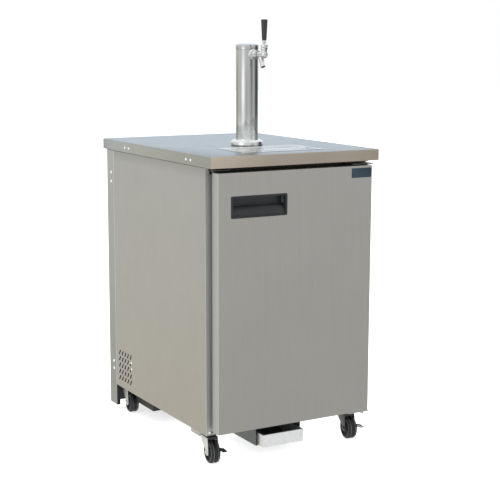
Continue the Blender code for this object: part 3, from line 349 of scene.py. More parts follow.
LOOKS = {
    # worktop: painted reflections, a darker blue top, a tan front edge with brighter ends and a lighter left
    # edge
    "top": brushed("worktop_steel", (0.58, 0.58, 0.56), 0.3, "X",
                   faces=((UP, (0.35, 0.371, 0.377)), (FRONT, (0.57, 0.5, 0.42)),
                          (LEFT, (0.475, 0.49, 0.475))),
                   ends=(FRONT, (0.74, 0.65, 0.54))),
    # side panels: a painted tone by height at the foot, painted shadow under the worktop's overhang, painted
    # shade on the front flange and a painted highlight on its bend
    "side": brushed("side_steel", (0.535, 0.548, 0.55), 0.36, low_light_tint=(0.54, 0.528, 0.49),
                    overhang_shadow_tint=(0.43, 0.44, 0.44),
                    faces=((FRONT, (0.34, 0.34, 0.325)), (FRONT_LEFT, (0.72, 0.73, 0.71))), matt=FRONT),
    # rear cover: painted shade, darker towards the foot and near-black on the faces that look forward
    "cover": brushed("cover_steel", (0.545, 0.565, 0.585), 0.36, low_light_tint=(0.43, 0.447, 0.45),
                     faces=((FRONT, (0.07, 0.07, 0.07)),)),
    # seam bead: a real bead in a lighter steel, the lighter colour a painted highlight along the seam
    "seam": brushed("seam_highlight_steel", (0.68, 0.7, 0.69), 0.3),
    # door: a painted tone by height at the foot, a painted lighter side face and a painted highlight on the
    # front bend
    "door": brushed("door_steel", (0.59, 0.578, 0.545), 0.38, low_light_tint=(0.55, 0.538, 0.505),
                    faces=((LEFT, (0.62, 0.645, 0.65)), (FRONT_LEFT, (0.9, 0.92, 0.92)))),
    # front frame: darker than the other steel, painted shade of the gap behind the door
    "frame": brushed("frame_shade_steel", (0.34, 0.345, 0.33), 0.4, matt=FRONT),
    "inner": brushed("liner_steel", (0.56, 0.56, 0.55), 0.34),
    # column: painted dark reflection bands, and painted light at the foot
    "column": polished("column_steel", (0.71, 0.725, 0.715), 0.15, streaks="Z", foot_light_tint=(0.98, 1.0, 0.99),
                       reflection_bands=((-180, 0, 70.0, 0.5), (-199, 0, 30.0, 0.3), (-122, 0, 260.0, 0.8),
                              (-96, 0, 110.0, 0.36), (-65, 0, 75.0, 0.26), (-44, 0, 34.0, 0.26))),
    # chrome: painted dark reflection bands, and painted shade on the faces that look down
    "chrome": polished("chrome", (0.97, 0.98, 0.98), 0.05,
                       reflection_bands=((-185, 0, 40.0, 0.5), (-100, 0, 120.0, 0.55), (-66, 0, 60.0, 0.35),
                              (0, -90, 2.0, 0.4))),
    "mirror": polished("tray_steel", (0.96, 0.97, 0.96), 0.08, ripple=0.0012),
    "galvanised": galvanised("galvanised", (0.91, 0.93, 0.92), 0.4, 160.0, 0.96, metallic=0.75),
    "zinc": galvanised("zinc_plate", (0.66, 0.67, 0.66), 0.32, 260.0),
    # left forks: a paler, less metallic zinc, painted light; the right ones use the shaded zinc
    "leg": galvanised("lit_leg_zinc", (0.64, 0.65, 0.63), 0.36, 260.0, 0.9, metallic=0.45),
    "shaded": galvanised("shaded_zinc", (0.15, 0.155, 0.155), 0.36, 260.0),
    # screw heads and hinge nuts: a pale, less metallic zinc, a painted highlight
    "bright": galvanised("highlight_zinc", (0.92, 0.92, 0.9), 0.38, 400.0, 0.9, metallic=0.35),
    "dark": galvanised("dark_sheet", (0.125, 0.14, 0.133), 0.42, 120.0, metallic=0.3),
    # painted shade: a dark sheet for the inside of the condensate tray
    "tray_shade": moulded("tray_painted_shade", (0.105, 0.122, 0.117), 0.4, 500.0),
    "base": galvanised("base_sheet", (0.07, 0.074, 0.072), 0.45, 90.0),
    "fins": brushed("fin_aluminium", (0.72, 0.73, 0.74), 0.38),
    "copper": polished("copper_pipe", (0.72, 0.43, 0.28), 0.25),
    "paint": moulded("black_paint", (0.02, 0.02, 0.021), 0.42, 500.0),
    "plastic": moulded("black_plastic", (0.02, 0.022, 0.024), 0.34, 1200.0),
    "handle": moulded("handle_plastic", (0.0125, 0.015, 0.0165), 0.4, 1200.0),
    "ramp": moulded("ramp_plastic", (0.018, 0.022, 0.026), 0.42, 1200.0),
    "rubber": moulded("black_rubber", (0.01, 0.011, 0.012), 0.5, 700.0),
    # painted highlights: paler rings on the tyres
    "tyre_glint": moulded("tyre_glint_rubber", (0.105, 0.109, 0.112), 0.46, 500.0),
    "gasket": moulded("gasket_rubber", (0.055, 0.057, 0.058), 0.62, 900.0),
    # painted shade: a near-black sheet for the inside of the vents
    "mesh": moulded("vent_shade_sheet", (0.008, 0.008, 0.008), 0.85, 2400.0, depth=0.0004),
    "foam": moulded("foam_core", (0.8, 0.72, 0.5), 0.9, 300.0, depth=0.0006),
    "white": moulded("white_plastic", (0.78, 0.78, 0.76), 0.42, 900.0),
    "hose": moulded("beer_hose", (0.7, 0.72, 0.7), 0.3, 600.0),
    "badge": brushed("badge_plate", (0.085, 0.125, 0.165), 0.34, "X"),
}


# ---- shapes

def finished(bm):
    """A mesh with its faces outward."""
    bmesh.ops.recalc_face_normals(bm, faces=bm.faces)
    mesh = bpy.data.meshes.new("shape")
    bm.to_mesh(mesh)
    bm.free()
    return mesh


def moved(mesh, *matrices):
    """A copy of the mesh, taken through the matrices from the last to the first."""
    copy = mesh.copy()
    total = Matrix.Identity(4)
    for matrix in matrices:
        total = total @ matrix
    copy.transform(total)
    if total.determinant() < 0:
        copy.flip_normals()
    return copy


def shift(x, y, z):
    return Matrix.Translation((x, y, z))


def turn(angle, axis):
    return Matrix.Rotation(math.radians(angle), 4, axis)


def filleted(points, radius, steps=3):
    """An outline with its corners rounded."""
    result = []
    count = len(points)
    for i, point in enumerate(points):
        here, before, after = Vector(point), Vector(points[i - 1]), Vector(points[(i + 1) % count])
        back, ahead = before - here, after - here
        if back.angle(ahead) > math.radians(172):
            result.append(point)
            continue
        reach = min(radius / math.tan(back.angle(ahead) / 2), back.length * 0.45, ahead.length * 0.45)
        start, stop = here + back.normalized() * reach, here + ahead.normalized() * reach
        for k in range(steps + 1):
            t = k / steps
            result.append(tuple(start * (1 - t) ** 2 + here * (2 * t * (1 - t)) + stop * t * t))
    return result


def lathe(profile, segments=64, ridges=None):
    """A profile of (radius, height) turned about Z. It runs from pole to pole, or closes on itself.

    ridges is (count, depth, lowest, highest): grooves along the surface between those heights.
    """
    bm = bmesh.new()
    rings = []
    for radius, height in profile:
        count = segments if radius > 1e-7 else 1
        ring = []
        for i in range(count):
            angle = 2 * math.pi * i / segments
            grown = radius
            if ridges and ridges[2] <= height <= ridges[3]:
                grown -= ridges[1] * (0.5 + 0.5 * math.cos(angle * ridges[0]))
            ring.append(bm.verts.new((grown * math.cos(angle), grown * math.sin(angle), height)))
        rings.append(ring)
    followers = rings[1:] + (rings[:1] if profile[0][0] > 1e-7 else [])
    for ring, follower in zip(rings, followers):
        for i in range(segments):
            j = (i + 1) % segments
            corners = [ring[i % len(ring)], ring[j % len(ring)]]
            corners += [follower[j % len(follower)], follower[i % len(follower)]]
            bm.faces.new(list(dict.fromkeys(corners)))
    return finished(bm)


def drum(radius, low, high, segments=24):
    """A closed cylinder, or a bar with fewer sides, on the Z axis."""
    return lathe([(0, low), (radius, low), (radius, high), (0, high)], segments)


ALONG_X = turn(90, "Y")
ALONG_Y = turn(-90, "X")


def prism(outline, low, high, axis="Z"):
    """An outline pushed along an axis. Its two numbers are the other two coordinates, in order."""
    bm = bmesh.new()
    ends = []
    for t in (low, high):
        ends.append([])
        for a, b in outline:
            point = {"X": (t, a, b), "Y": (a, t, b), "Z": (a, b, t)}[axis]
            ends[-1].append(bm.verts.new(point))
        bm.faces.new(ends[-1])
    for i in range(len(outline)):
        bm.faces.new((ends[0][i - 1], ends[0][i], ends[1][i], ends[1][i - 1]))
    return finished(bm)


def block(x0, x1, y0, y1, z0, z1):
    return prism([(x0, y0), (x1, y0), (x1, y1), (x0, y1)], z0, z1)


def round_rectangle(a0, a1, b0, b1, radius, steps=4):
    return filleted([(a0, b0), (a1, b0), (a1, b1), (a0, b1)], radius, steps=steps)


def eased(mesh, width, sharpest=28.0):
    """Rounds every edge that turns by more than some degrees."""
    bm = bmesh.new()
    bm.from_mesh(mesh)
    edges = [e for e in bm.edges if len(e.link_faces) == 2 and e.calc_face_angle() > math.radians(sharpest)]
    bmesh.ops.bevel(bm, geom=edges, offset=width, segments=2, affect="EDGES", profile=0.5)
    return finished(bm)


def swept(path, radii, segments):
    """A bar along a path, with one radius for each point."""
    bm = bmesh.new()
    points = [Vector(p) for p in path]
    side = Vector((1, 0, 0))
    rings = []
    for i, (point, radius) in enumerate(zip(points, radii)):
        ahead = (points[min(i + 1, len(points) - 1)] - points[max(i - 1, 0)]).normalized()
        side = (side - ahead * side.dot(ahead)).normalized()
        other = ahead.cross(side)
        ring = []
        for k in range(segments):
            angle = 2 * math.pi * k / segments
            offset = side * math.cos(angle) + other * math.sin(angle)
            ring.append(bm.verts.new(point + radius * offset))
        rings.append(ring)
    for ring, follower in zip(rings, rings[1:]):
        for k in range(segments):
            bm.faces.new((ring[k - 1], ring[k], follower[k], follower[k - 1]))
    bm.faces.new(rings[0])
    bm.faces.new(rings[-1])
    return finished(bm)


def together(meshes):
    """One mesh of several separate shapes."""
    bm = bmesh.new()
    for mesh in meshes:
        bm.from_mesh(mesh)
    whole = bpy.data.meshes.new("shape")
    bm.to_mesh(whole)
    bm.free()
    return whole


def modified(mesh, *steps):
    """The mesh after some modifiers, each given as (type, settings)."""
    holder = add_object("holder", mesh)
    for kind, settings in steps:
        modifier = holder.modifiers.new(kind.lower(), kind)
        for key, value in settings.items():
            setattr(modifier, key, value)
    graph = bpy.context.evaluated_depsgraph_get()
    result = bpy.data.meshes.new_from_object(holder.evaluated_get(graph))
    bpy.data.objects.remove(holder)
    return result


def combined(base, tool, operation):
    """The Boolean of two meshes."""
    other = add_object("tool", tool)
    result = modified(base, ("BOOLEAN", {"operation": operation, "solver": "EXACT", "object": other}))
    bpy.data.objects.remove(other)
    return result


def cut(base, *tools):
    for tool in tools:
        base = combined(base, tool, "DIFFERENCE")
    return base


def joined(base, *others):
    for other in others:
        base = combined(base, other, "UNION")
    return base


def piece(name, mesh, look, body="cabinet", replaces=(), crease=32.0):
    """A finished piece that rides on a body. Its mesh is in the frame's own coordinates."""
    mesh = mesh.copy()
    mesh.name = name
    mesh.materials.clear()
    mesh.materials.append(LOOKS[look])
    mesh.shade_smooth()
    mesh.set_sharp_from_angle(angle=math.radians(crease))
    made = add_object(name, mesh)
    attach(made, body)
    if replaces:
        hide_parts(*replaces)


def rounded_folds(node, radius, columns):
    """Marks the upright edges of a CAD node at some (x, y), and rounds them by a larger radius."""
    mesh = node.data
    weights = mesh.attributes.new("bevel_weight_edge", "FLOAT", "EDGE")
    place = node.matrix_world
    for edge in mesh.edges:
        ends = [place @ mesh.vertices[v].co for v in edge.vertices]
        for x, y in columns:
            if all(abs(end.x - x) < 0.0001 and abs(end.y - y) < 0.0001 for end in ends):
                weights.data[edge.index].value = 1.0
    fold = node.modifiers.new("folds", "BEVEL")
    fold.limit_method = "WEIGHT"
    fold.width = radius
    fold.segments = 5
    fold.use_clamp_overlap = False


def dressed(look, width, *names, folds=None):
    """CAD nodes whose shape stays: a real finish, and edges that catch the light."""
    for name in names:
        node = NODES[name]
        mesh = node.data
        mesh.materials.clear()
        mesh.materials.append(LOOKS[look])
        if "custom_normal" in mesh.attributes:
            mesh.attributes.remove(mesh.attributes["custom_normal"])
        mesh.shade_smooth()
        weld = node.modifiers.new("weld", "WELD")
        weld.merge_threshold = 0.00001
        if folds:
            rounded_folds(node, *folds)
        edges = node.modifiers.new("edges", "BEVEL")
        edges.limit_method = "ANGLE"
        edges.angle_limit = math.radians(30.0)
        edges.width = width
        edges.segments = 2
        edges.harden_normals = not folds
        if folds:
            flat = node.modifiers.new("flat", "WEIGHTED_NORMAL")
            flat.weight = 100


# ---- screws

def screw(radius, height):
    """A pan head screw with a cross recess, standing on Z = 0."""
    head = lathe([(0, -0.001), (radius, -0.001), (radius, height * 0.35), (radius * 0.88, height * 0.72),
                  (radius * 0.6, height * 0.94), (0, height)], 28)
    slot = radius * 0.15
    arm = radius * 0.62
    deep = height * 0.25
    first = block(-arm, arm, -slot, slot, deep, height * 2)
    second = block(-slot, slot, -arm, arm, deep, height * 2)
    return cut(head, first, second)


SIDE_FOLD = 0.0016
DOOR_FOLD = 0.0017
SCREW = screw(0.0042, 0.0021)
BROAD_SCREW = screw(0.0052, 0.0022)


def screws(name, spots, towards, mesh=SCREW):
    """Screws at some points of a face that looks towards a direction, as one piece."""
    facing = Vector(towards).to_track_quat("Z", "Y").to_matrix().to_4x4()
    heads = []
    for i, spot in enumerate(spots):
        heads.append(moved(mesh, shift(*spot), facing, turn(23.0 * i, "Z")))
    # the heads are in a pale zinc, a painted highlight
    piece(name, together(heads), "bright")


# ---- cabinet

def make_cabinet():
    """The sheet parts, with their folded edges, seams, painted shadow strips and screws."""
    dressed("top", 0.0005, "worktop")
    for name, side in (("left_panel", -1), ("right_panel", 1)):
        low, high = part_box(name)
        x = low.x if side < 0 else high.x
        dressed("side", 0.0004, name, folds=(SIDE_FOLD, [(x, low.y)]))
    dressed("cover", 0.0004, "rear_cover")
    dressed("frame", 0.0004, "front_frame")
    dressed("inner", 0.0004, "liner")
    dressed("galvanised", 0.0003, "back_panel", "base_panel")
    dressed("base", 0.0003, "machine_base")
    dressed("foam", 0.0005, "cabinet_foam", "worktop_core", "door_foam")
    top_low, top_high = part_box("worktop")
    cover_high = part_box("rear_cover")[1]
    body_low, body_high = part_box("left_panel")
    for side, name in ((-1, "left"), (1, "right")):
        x = side * top_high.x
        spots = [(x, y, top_high.z - 0.0205) for y in (0.228, 0.195, -0.251, -0.282)]
        screws("worktop_screws_" + name, spots, (side, 0, 0))
        x = side * cover_high.x
        spots = [(x, 0.377, z) for z in (0.895, 0.862, 0.188, 0.161)]
        screws("cover_screws_" + name, spots, (side, 0, 0), BROAD_SCREW)
        spots = [(x, y, z) for y, z in ((0.2215, 0.2136), (0.219, 0.1895))]
        screws("panel_screws_" + name, spots, (side, 0, 0))
        seam = [(0.0, -0.003), (0.0009, -0.0024), (0.0012, -0.0004), (0.0012, 0.0004), (0.0009, 0.0024),
                (0.0, 0.003)]
        seam = [(side * (cover_high.x + out - 0.0001), body_high.y + 0.0003 + along) for out, along in seam]
        # the bead's lighter steel is a painted highlight along the seam
        piece("seam_bead_" + name, prism(seam, body_low.z + 0.0005, top_low.z - 0.0005), "seam")
        # painted shadow: a dark strip under the worktop's edge
        x0, x1 = sorted((side * (cover_high.x - 0.0004), side * (cover_high.x + 0.0014)))
        shadow_line = block(x0, x1, body_low.y + 0.004, cover_high.y - 0.004, top_low.z - 0.0036, top_low.z + 0.001)
        piece("worktop_shadow_line_" + name, shadow_line, "gasket")
        x0, x1 = sorted((side * (cover_high.x - 0.0022), side * (cover_high.x - 0.0018)))
        # painted shade: a near-black sheet behind the vent slots, for the shade inside them
        piece("vent_shade_sheet_" + name, block(x0, x1, 0.204, 0.345, 0.116, 0.254), "mesh")
    spots = [(x, cover_high.y, z) for z in (0.06, 0.36, 0.66, 0.94) for x in (-0.285, 0.285)]
    screws("cover_screws_back", spots, (0, 1, 0))
    sill = 0.1112
    screws("sill_screws", [(x, body_low.y, sill) for x in (-0.2915, 0.2915)], FRONT)
    plug = lathe([(0, -0.001), (0.003, -0.001), (0.003, 0.0004), (0.0018, 0.0008), (0, 0.0008)], 24)
    plugs = [moved(plug, shift(x, body_low.y, sill), turn(90, "X")) for x in (-0.2835, 0.2835)]
    piece("sill_plugs", together(plugs), "plastic")

    # painted shade: a black strip on the frame in the gap above the door
    strip = block(-0.2905, 0.228, body_low.y - 0.001, body_low.y, 0.956, 0.9775)
    piece("head_gap_shade_strip", strip, "plastic")
    plate = eased(block(-0.296, -0.238, -0.401, body_low.y - 0.0005, 0.9686, 0.9712), 0.0004)
    holes = [moved(drum(radius, -0.01, 0.01), shift(x, -0.389, 0.97))
             for x, radius in ((-0.278, 0.0045), (-0.256, 0.003))]
    piece("spare_hinge_plate", cut(plate, *holes), "shaded")
    screws("spare_hinge_screws", [(x, -0.38, 0.9686) for x in (-0.288, -0.266, -0.245)], (0, 0, -1))


def make_machines():
    """What lies behind the vents, and the cooling parts, thermostat and beer line inside."""
    dressed("paint", 0.0006, "compressor", "fan_shroud", "condenser")
    dressed("dark", 0.0006, "condenser_motor", "evaporator_motor")
    dressed("fins", 0.0003, "condenser_fan", "evaporator_coil")
    dressed("copper", 0.0003, "discharge_pipe")
    dressed("plastic", 0.0004, "evaporator_fan", "thermostat_dial")
    dressed("white", 0.0012, "evaporator_cover", "thermostat")
    dressed("hose", 0.0003, "beer_line")
    low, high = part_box("evaporator_fan")
    centre = (low + high) / 2
    low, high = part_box("evaporator_cover")
    rings = []
    wire = 0.0011
    for radius in (0.018, 0.029, 0.04, 0.051, 0.062):
        rings.append(lathe(round_rectangle(radius - wire, radius + wire, -wire, wire, 0.001, 2), 48))
    for i in range(4):
        bar = block(-0.068, 0.068, -0.0012, 0.0012, -0.003, -0.0012)
        rings.append(moved(bar, turn(45.0 * i, "Z")))
    guard = moved(together(rings), shift(centre.x, low.y - 0.0016, centre.z), turn(90, "X"))
    piece("evaporator_fan_guard", guard, "plastic")


# ---- draft tower

def make_tower():
    """Column, cap and foot flange, turned and polished."""
    low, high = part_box("tower_column")
    x, y = (low.x + high.x) / 2, (low.y + high.y) / 2
    radius = (high.x - low.x) / 2
    wall = 0.002
    shank_low, shank_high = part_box("shank")
    level = (shank_low.z + shank_high.z) / 2
    section = [(radius, low.z), (radius, high.z), (radius - wall, high.z), (radius - wall, low.z)]
    column = lathe(filleted(section, 0.0005, 2), 96)
    hole = moved(drum(0.0112, -0.08, 0, 40), shift(0, 0, level), ALONG_Y)
    piece("column", moved(cut(column, hole), shift(x, y, 0)), "column",
          replaces=["tower_column"])

    low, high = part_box("tower_cap")
    radius = (high.x - low.x) / 2
    top, sleeve = high.z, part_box("tower_column")[1].z + 0.0004
    profile = [(0, top), (0.012, top - 0.0002), (0.02, top - 0.0006), (0.0275, top - 0.0012)]
    profile += [(0.033, top - 0.0022), (0.0362, top - 0.0034), (0.0381, top - 0.0046), (radius, top - 0.0062)]
    profile += [(radius, sleeve + 0.0006), (radius - 0.0005, sleeve)]
    profile += [(radius - 0.0034, sleeve), (radius - 0.0034, low.z), (0, low.z)]
    cap = moved(lathe(profile, 96), shift(x, y, 0))
    piece("cap", cap, "column", replaces=["tower_cap"])

    low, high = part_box("tower_flange")
    radius, bore = (high.x - low.x) / 2, 0.0384
    height = high.z - low.z
    profile = [(bore, 0), (radius - 0.0022, 0), (radius, 0.0022), (radius, 0.0125), (radius - 0.0006, 0.0142),
               (radius - 0.002, 0.0156), (radius - 0.0042, 0.0166), (radius - 0.0062, 0.0182),
               (radius - 0.0076, height - 0.0004), (radius - 0.0095, height), (bore + 0.0012, height),
               (bore, height - 0.0012)]
    flange = moved(lathe(profile, 96), shift(x, y, low.z))
    grub = moved(lathe([(0, -0.002), (0.0026, -0.002), (0.0026, 0.0005), (0.0014, 0.0005), (0.0014, -0.001),
                        (0, -0.001)], 20), shift(x, y + radius - 0.0002, low.z + 0.008), turn(-90, "X"))
    piece("flange", flange, "chrome", replaces=["tower_flange"])
    piece("flange_grub_screw", grub, "zinc")


def make_faucet():
    """Shank, coupling nut, faucet, bonnet, lever and tap handle."""
    low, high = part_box("shank")
    x, z = (low.x + high.x) / 2, (low.z + high.z) / 2
    column_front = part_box("tower_column")[0].y
    body_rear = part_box("faucet_body")[1].y
    at_faucet = shift(x, 0, z)

    collar = [(0.0105, column_front - 0.0003), (0.017, column_front - 0.0003), (0.017, column_front - 0.0016),
              (0.016, column_front - 0.003), (0.0125, column_front - 0.0046), (0.0108, column_front - 0.006),
              (0.0105, column_front - 0.006)]
    tube = [(0.006, high.y), (0.006, column_front + 0.02), (0.0104, column_front + 0.02), (0.0104, low.y),
            (0.008, low.y), (0.008, low.y + 0.0175), (0.004, low.y + 0.0185), (0.004, high.y)]
    shank = moved(together([lathe(collar, 48), lathe(tube, 40)]), at_faucet, ALONG_Y)
    piece("shank_and_collar", shank, "chrome", replaces=["shank"])

    low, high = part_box("coupling_nut")
    front, rear, radius = low.y, high.y, (high.x - low.x) / 2
    nut = [(0.0111, rear), (radius - 0.001, rear), (radius, rear - 0.001), (radius, rear - 0.0125),
           (radius - 0.0008, rear - 0.014), (radius - 0.003, front + 0.007), (0.0128, front + 0.004),
           (0.0128, front), (0.0111, front)]
    mesh = moved(lathe(nut, 96, (16, 0.0009, rear - 0.013, rear - 0.0005)), at_faucet, ALONG_Y)
    piece("ridged_nut", mesh, "chrome", replaces=["coupling_nut"])

    tap = Vector(JOINTS["tap_lever"]["pos_m"])
    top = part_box("faucet_body")[1].z
    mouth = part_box("faucet_body")[0].z + 0.001
    barrel = lathe([(0, tap.y - 0.001), (0.01, tap.y), (0.0106, tap.y + 0.012), (0.0098, tap.y + 0.026),
                    (0.01, body_rear - 0.006), (0.0124, body_rear - 0.004), (0.0124, body_rear),
                    (0, body_rear)], 48)
    barrel = moved(barrel, at_faucet, ALONG_Y)
    housing = lathe([(0, -0.0125), (0.0055, -0.0118), (0.0092, -0.0092), (0.0114, -0.005), (0.012, 0.0),
                     (0.0116, 0.005), (0.0104, 0.0095), (0.01, 0.0135), (0.0106, 0.0155), (0.012, 0.017),
                     (0.012, top - z), (0, top - z)], 48)
    housing = moved(housing, shift(x, tap.y, z))
    path, radii = [], []
    for i in range(13):
        t = i / 12
        path.append((x, tap.y + 0.0215 - 0.0155 * t ** 1.6, z - 0.0005 - (z - mouth) * t))
        radii.append(0.01 - 0.0022 * min(1.0, 1.6 * t) + (0.0006 if t > 0.9 else 0.0))
    spout = swept(path, radii, 32)
    cast = joined(barrel, housing, spout)
    cast = modified(cast, ("REMESH", {"mode": "VOXEL", "voxel_size": 0.00055}),
                    ("SMOOTH", {"factor": 0.5, "iterations": 5}))
    inside, end = Vector(path[-4]), Vector(path[-1])
    bore = swept([inside, end + (end - inside) * 0.6], [0.0058, 0.006], 28)
    slot = block(x - 0.0026, x + 0.0026, tap.y - 0.012, tap.y + 0.012, top - 0.012, top + 0.01)
    well = moved(drum(0.0084, -0.01, 0.01, 32), shift(x, tap.y, top))
    piece("faucet", cut(cast, bore, well, slot), "chrome", replaces=["faucet_body"],
          crease=40.0)

    low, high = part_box("faucet_bonnet")
    height = high.z - low.z
    bonnet = [(0.0088, 0), (0.0104, 0), (0.0112, 0.0008), (0.012, 0.0026), (0.012, 0.0078), (0.0114, 0.0098),
              (0.0108, height - 0.0006), (0.01, height), (0.0092, height), (0.0088, height - 0.0006)]
    piece("bonnet", moved(lathe(bonnet, 96, (24, 0.0006, 0.002, 0.008)), shift(x, tap.y, low.z)),
          "chrome", replaces=["faucet_bonnet"])

    low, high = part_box("faucet_lever")
    ball, stem, neck = 0.0083, 0.0018, 0.0034
    lever = [(0, low.z - tap.z), (stem * 0.6, low.z - tap.z), (stem, low.z - tap.z + 0.0008)]
    first, last = math.degrees(math.asin(stem / ball)) - 90, 90 - math.degrees(math.asin(neck / ball))
    for i in range(17):
        angle = math.radians(first + (last - first) * i / 16)
        lever.append((ball * math.cos(angle), ball * math.sin(angle)))
    lever += [(neck, 0.0095), (0.004, 0.0106), (0.0056, 0.0114), (0.0062, 0.0126), (0.006, 0.014),
              (0.0058, 0.015), (0.0064, 0.0162), (0.007, 0.018), (0.0073, 0.0194), (0.007, 0.0198),
              (0.0033, 0.0198), (0.0033, high.z - tap.z), (0, high.z - tap.z)]
    lever = moved(lathe(lever, 48), shift(x, tap.y, tap.z))
    piece("lever_and_ferrule", lever, "chrome", "tap", replaces=["faucet_lever"])

    low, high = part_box("tap_handle")
    foot, head = low.z, high.z
    grip = [(0, tap.z + 0.046), (0.0037, tap.z + 0.046), (0.0037, foot), (0.007, foot)]
    grip += [(0.0075, foot + 0.0005), (0.0082, foot + 0.01), (0.0089, foot + 0.026), (0.0098, foot + 0.044)]
    grip += [(0.0107, head - 0.007), (0.0109, head - 0.0048), (0.0108, head - 0.0028)]
    grip += [(0.0102, head - 0.0012), (0.009, head - 0.0003), (0.007, head), (0, head)]
    grip = moved(lathe(grip, 48), shift(x, tap.y, 0))
    piece("tap_grip", grip, "plastic", "tap", replaces=["tap_handle"])

    dressed("chrome", 0.0003, "faucet_plunger")


def make_drip_tray():
    """The sunk tray and its grille of long slots with round ends."""
    dressed("mirror", 0.0005, "drip_pan")
    low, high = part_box("drip_grille")
    middle_x, middle_y = (low.x + high.x) / 2, (low.y + high.y) / 2
    plate = prism(round_rectangle(low.x, high.x, low.y, high.y, 0.003), low.z, high.z)
    slots = []
    columns, pitch, row_offset = 19, 0.0145, 0.04
    half_width, half_length = 0.0032, 0.032
    for row in (-1, 1):
        for i in range(columns):
            x = middle_x + (i - columns // 2) * pitch
            y = middle_y + row * row_offset
            outline = round_rectangle(x - half_width, x + half_width, y - half_length, y + half_length,
                                      half_width * 0.98, 4)
            slots.append(prism(outline, low.z - 0.01, high.z + 0.01))
    grille = eased(cut(plate, together(slots)), 0.0003, 50.0)
    piece("slotted_grille", grille, "mirror", "drip_grille", replaces=["drip_grille"])


# ---- door

def make_door():
    """Door sheets, gasket, recessed handle, badge plate and hinges."""
    low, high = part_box("door_skin")
    dressed("door", 0.0004, "door_skin", folds=(DOOR_FOLD, [(low.x, low.y), (high.x, low.y)]))
    strip = block(low.x + 0.002, 0.225, low.y + 0.003, high.y - 0.001, high.z, high.z + 0.0009)
    piece("door_top_strip", strip, "plastic", "door")
    dressed("inner", 0.0006, "door_liner")
    low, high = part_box("door_gasket")
    parts = []
    for inset, y0, y1 in ((0.0, low.y, low.y + 0.006), (0.0035, low.y + 0.006, low.y + 0.01),
                          (0.001, low.y + 0.01, high.y)):
        edges = []
        for grow, radius in ((inset, 0.004), (0.02 - inset, 0.003)):
            edges.append(round_rectangle(low.x + grow, high.x - grow, low.z + grow, high.z - grow, radius, 3))
        outer = prism(edges[0], y0, y1, "Y")
        inner = prism(edges[1], y0 - 0.01, y1 + 0.01, "Y")
        parts.append(cut(outer, inner))
    piece("ribbed_gasket", joined(*parts), "gasket", "door", replaces=["door_gasket"])

    low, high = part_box("door_handle")
    face = low.y
    back = high.y
    deep = back - 0.002
    top_in, bottom_in = high.z - 0.0065, low.z + 0.0055
    left_in, right_in = low.x + 0.0068, high.x - 0.0068
    lip = 0.8566
    door_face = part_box("door_skin")[0].y
    bezel = round_rectangle(low.x, high.x, low.z, high.z, 0.0055, 6)
    bezel = prism(bezel, face, door_face - 0.0003, "Y")
    cup = prism(round_rectangle(low.x + 0.005, high.x - 0.005, low.z + 0.005, high.z - 0.005, 0.004, 4),
                face + 0.0006, back, "Y")
    side_view = [(face - 0.01, top_in), (deep, top_in), (deep, lip)]
    for i in range(9):
        t = i / 8
        side_view.append((deep - 0.0015 - (deep - 0.0015 - face - 0.0042) * t,
                          lip - 0.0035 * t - (lip - 0.0035 - bottom_in) * t ** 1.5))
    side_view += [(face + 0.0015, bottom_in - 0.0003), (face - 0.01, bottom_in - 0.0003)]
    hollow = prism(side_view, left_in, right_in, "X")
    shell = eased(cut(joined(bezel, cup), hollow), 0.0006, 40.0)
    piece("handle_shell", shell, "handle", "door", replaces=["door_handle"])
    section = [(deep - 0.004, lip + 0.0006), (deep - 0.0001, lip + 0.0006), (deep - 0.0001, lip - 0.003),
               (deep - 0.004, lip - 0.0015)]
    rail = prism(filleted(section, 0.0006), left_in + 0.0003, right_in - 0.0003, "X")
    piece("handle_lip", rail, "plastic", "door")
    curve = []
    for i in range(13):
        angle = math.radians(90 * i / 12)
        curve.append((right_in - 0.012 + 0.011 * math.sin(angle), deep - 0.004 - 0.016 * math.cos(angle)))
    guide = curve + [(right_in - 0.0003, curve[-1][1]), (right_in - 0.0003, curve[0][1])]
    guide = prism(guide, lip + 0.001, top_in - 0.0003)
    piece("handle_end_guide", eased(guide, 0.0004, 50.0), "ramp", "door")

    low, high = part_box("badge")
    plate = prism(round_rectangle(low.x, high.x, low.z, high.z, 0.0015), low.y, high.y, "Y")
    piece("badge_plate", eased(plate, 0.0003, 50.0), "badge", "door", replaces=["badge"])

    dressed("shaded", 0.0004, "top_hinge")
    dressed("zinc", 0.0004, "bottom_hinge")
    hinge = Vector(JOINTS["door_hinge"]["pos_m"])
    nut_height = 0.0028
    nut = lathe([(0, -0.0005), (0.0062, -0.0005), (0.0062, 0.0016), (0.005, 0.0026), (0, nut_height)], 6)
    top_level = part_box("top_hinge")[1].z - nut_height
    bottom_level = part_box("bottom_hinge")[0].z + nut_height
    for name, level, flip in (("top", top_level, 0), ("bottom", bottom_level, 180)):
        placed = moved(nut, shift(hinge.x, hinge.y, level), turn(flip, "X"))
        # the nuts are in a pale zinc, a painted highlight
        piece(name + "_hinge_nut", eased(placed, 0.0003), "bright")


def make_condensate_tray():
    """The holder under the body and the open tray that slides in it."""
    dressed("dark", 0.0003, "tray_holder")
    dressed("galvanised", 0.0004, "condensate_tray")
    low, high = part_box("condensate_tray")
    # painted shade: a dark sheet on the tray's floor, for the shade inside it
    inset, front_inset = 0.0014, 0.0016
    shade_sheet = block(low.x + inset, high.x - inset, low.y + front_inset, high.y - inset,
                    low.z + 0.0013, low.z + 0.002)
    piece("tray_bottom_painted_shade", eased(shade_sheet, 0.0002), "tray_shade", "condensate_tray")


# ---- casters

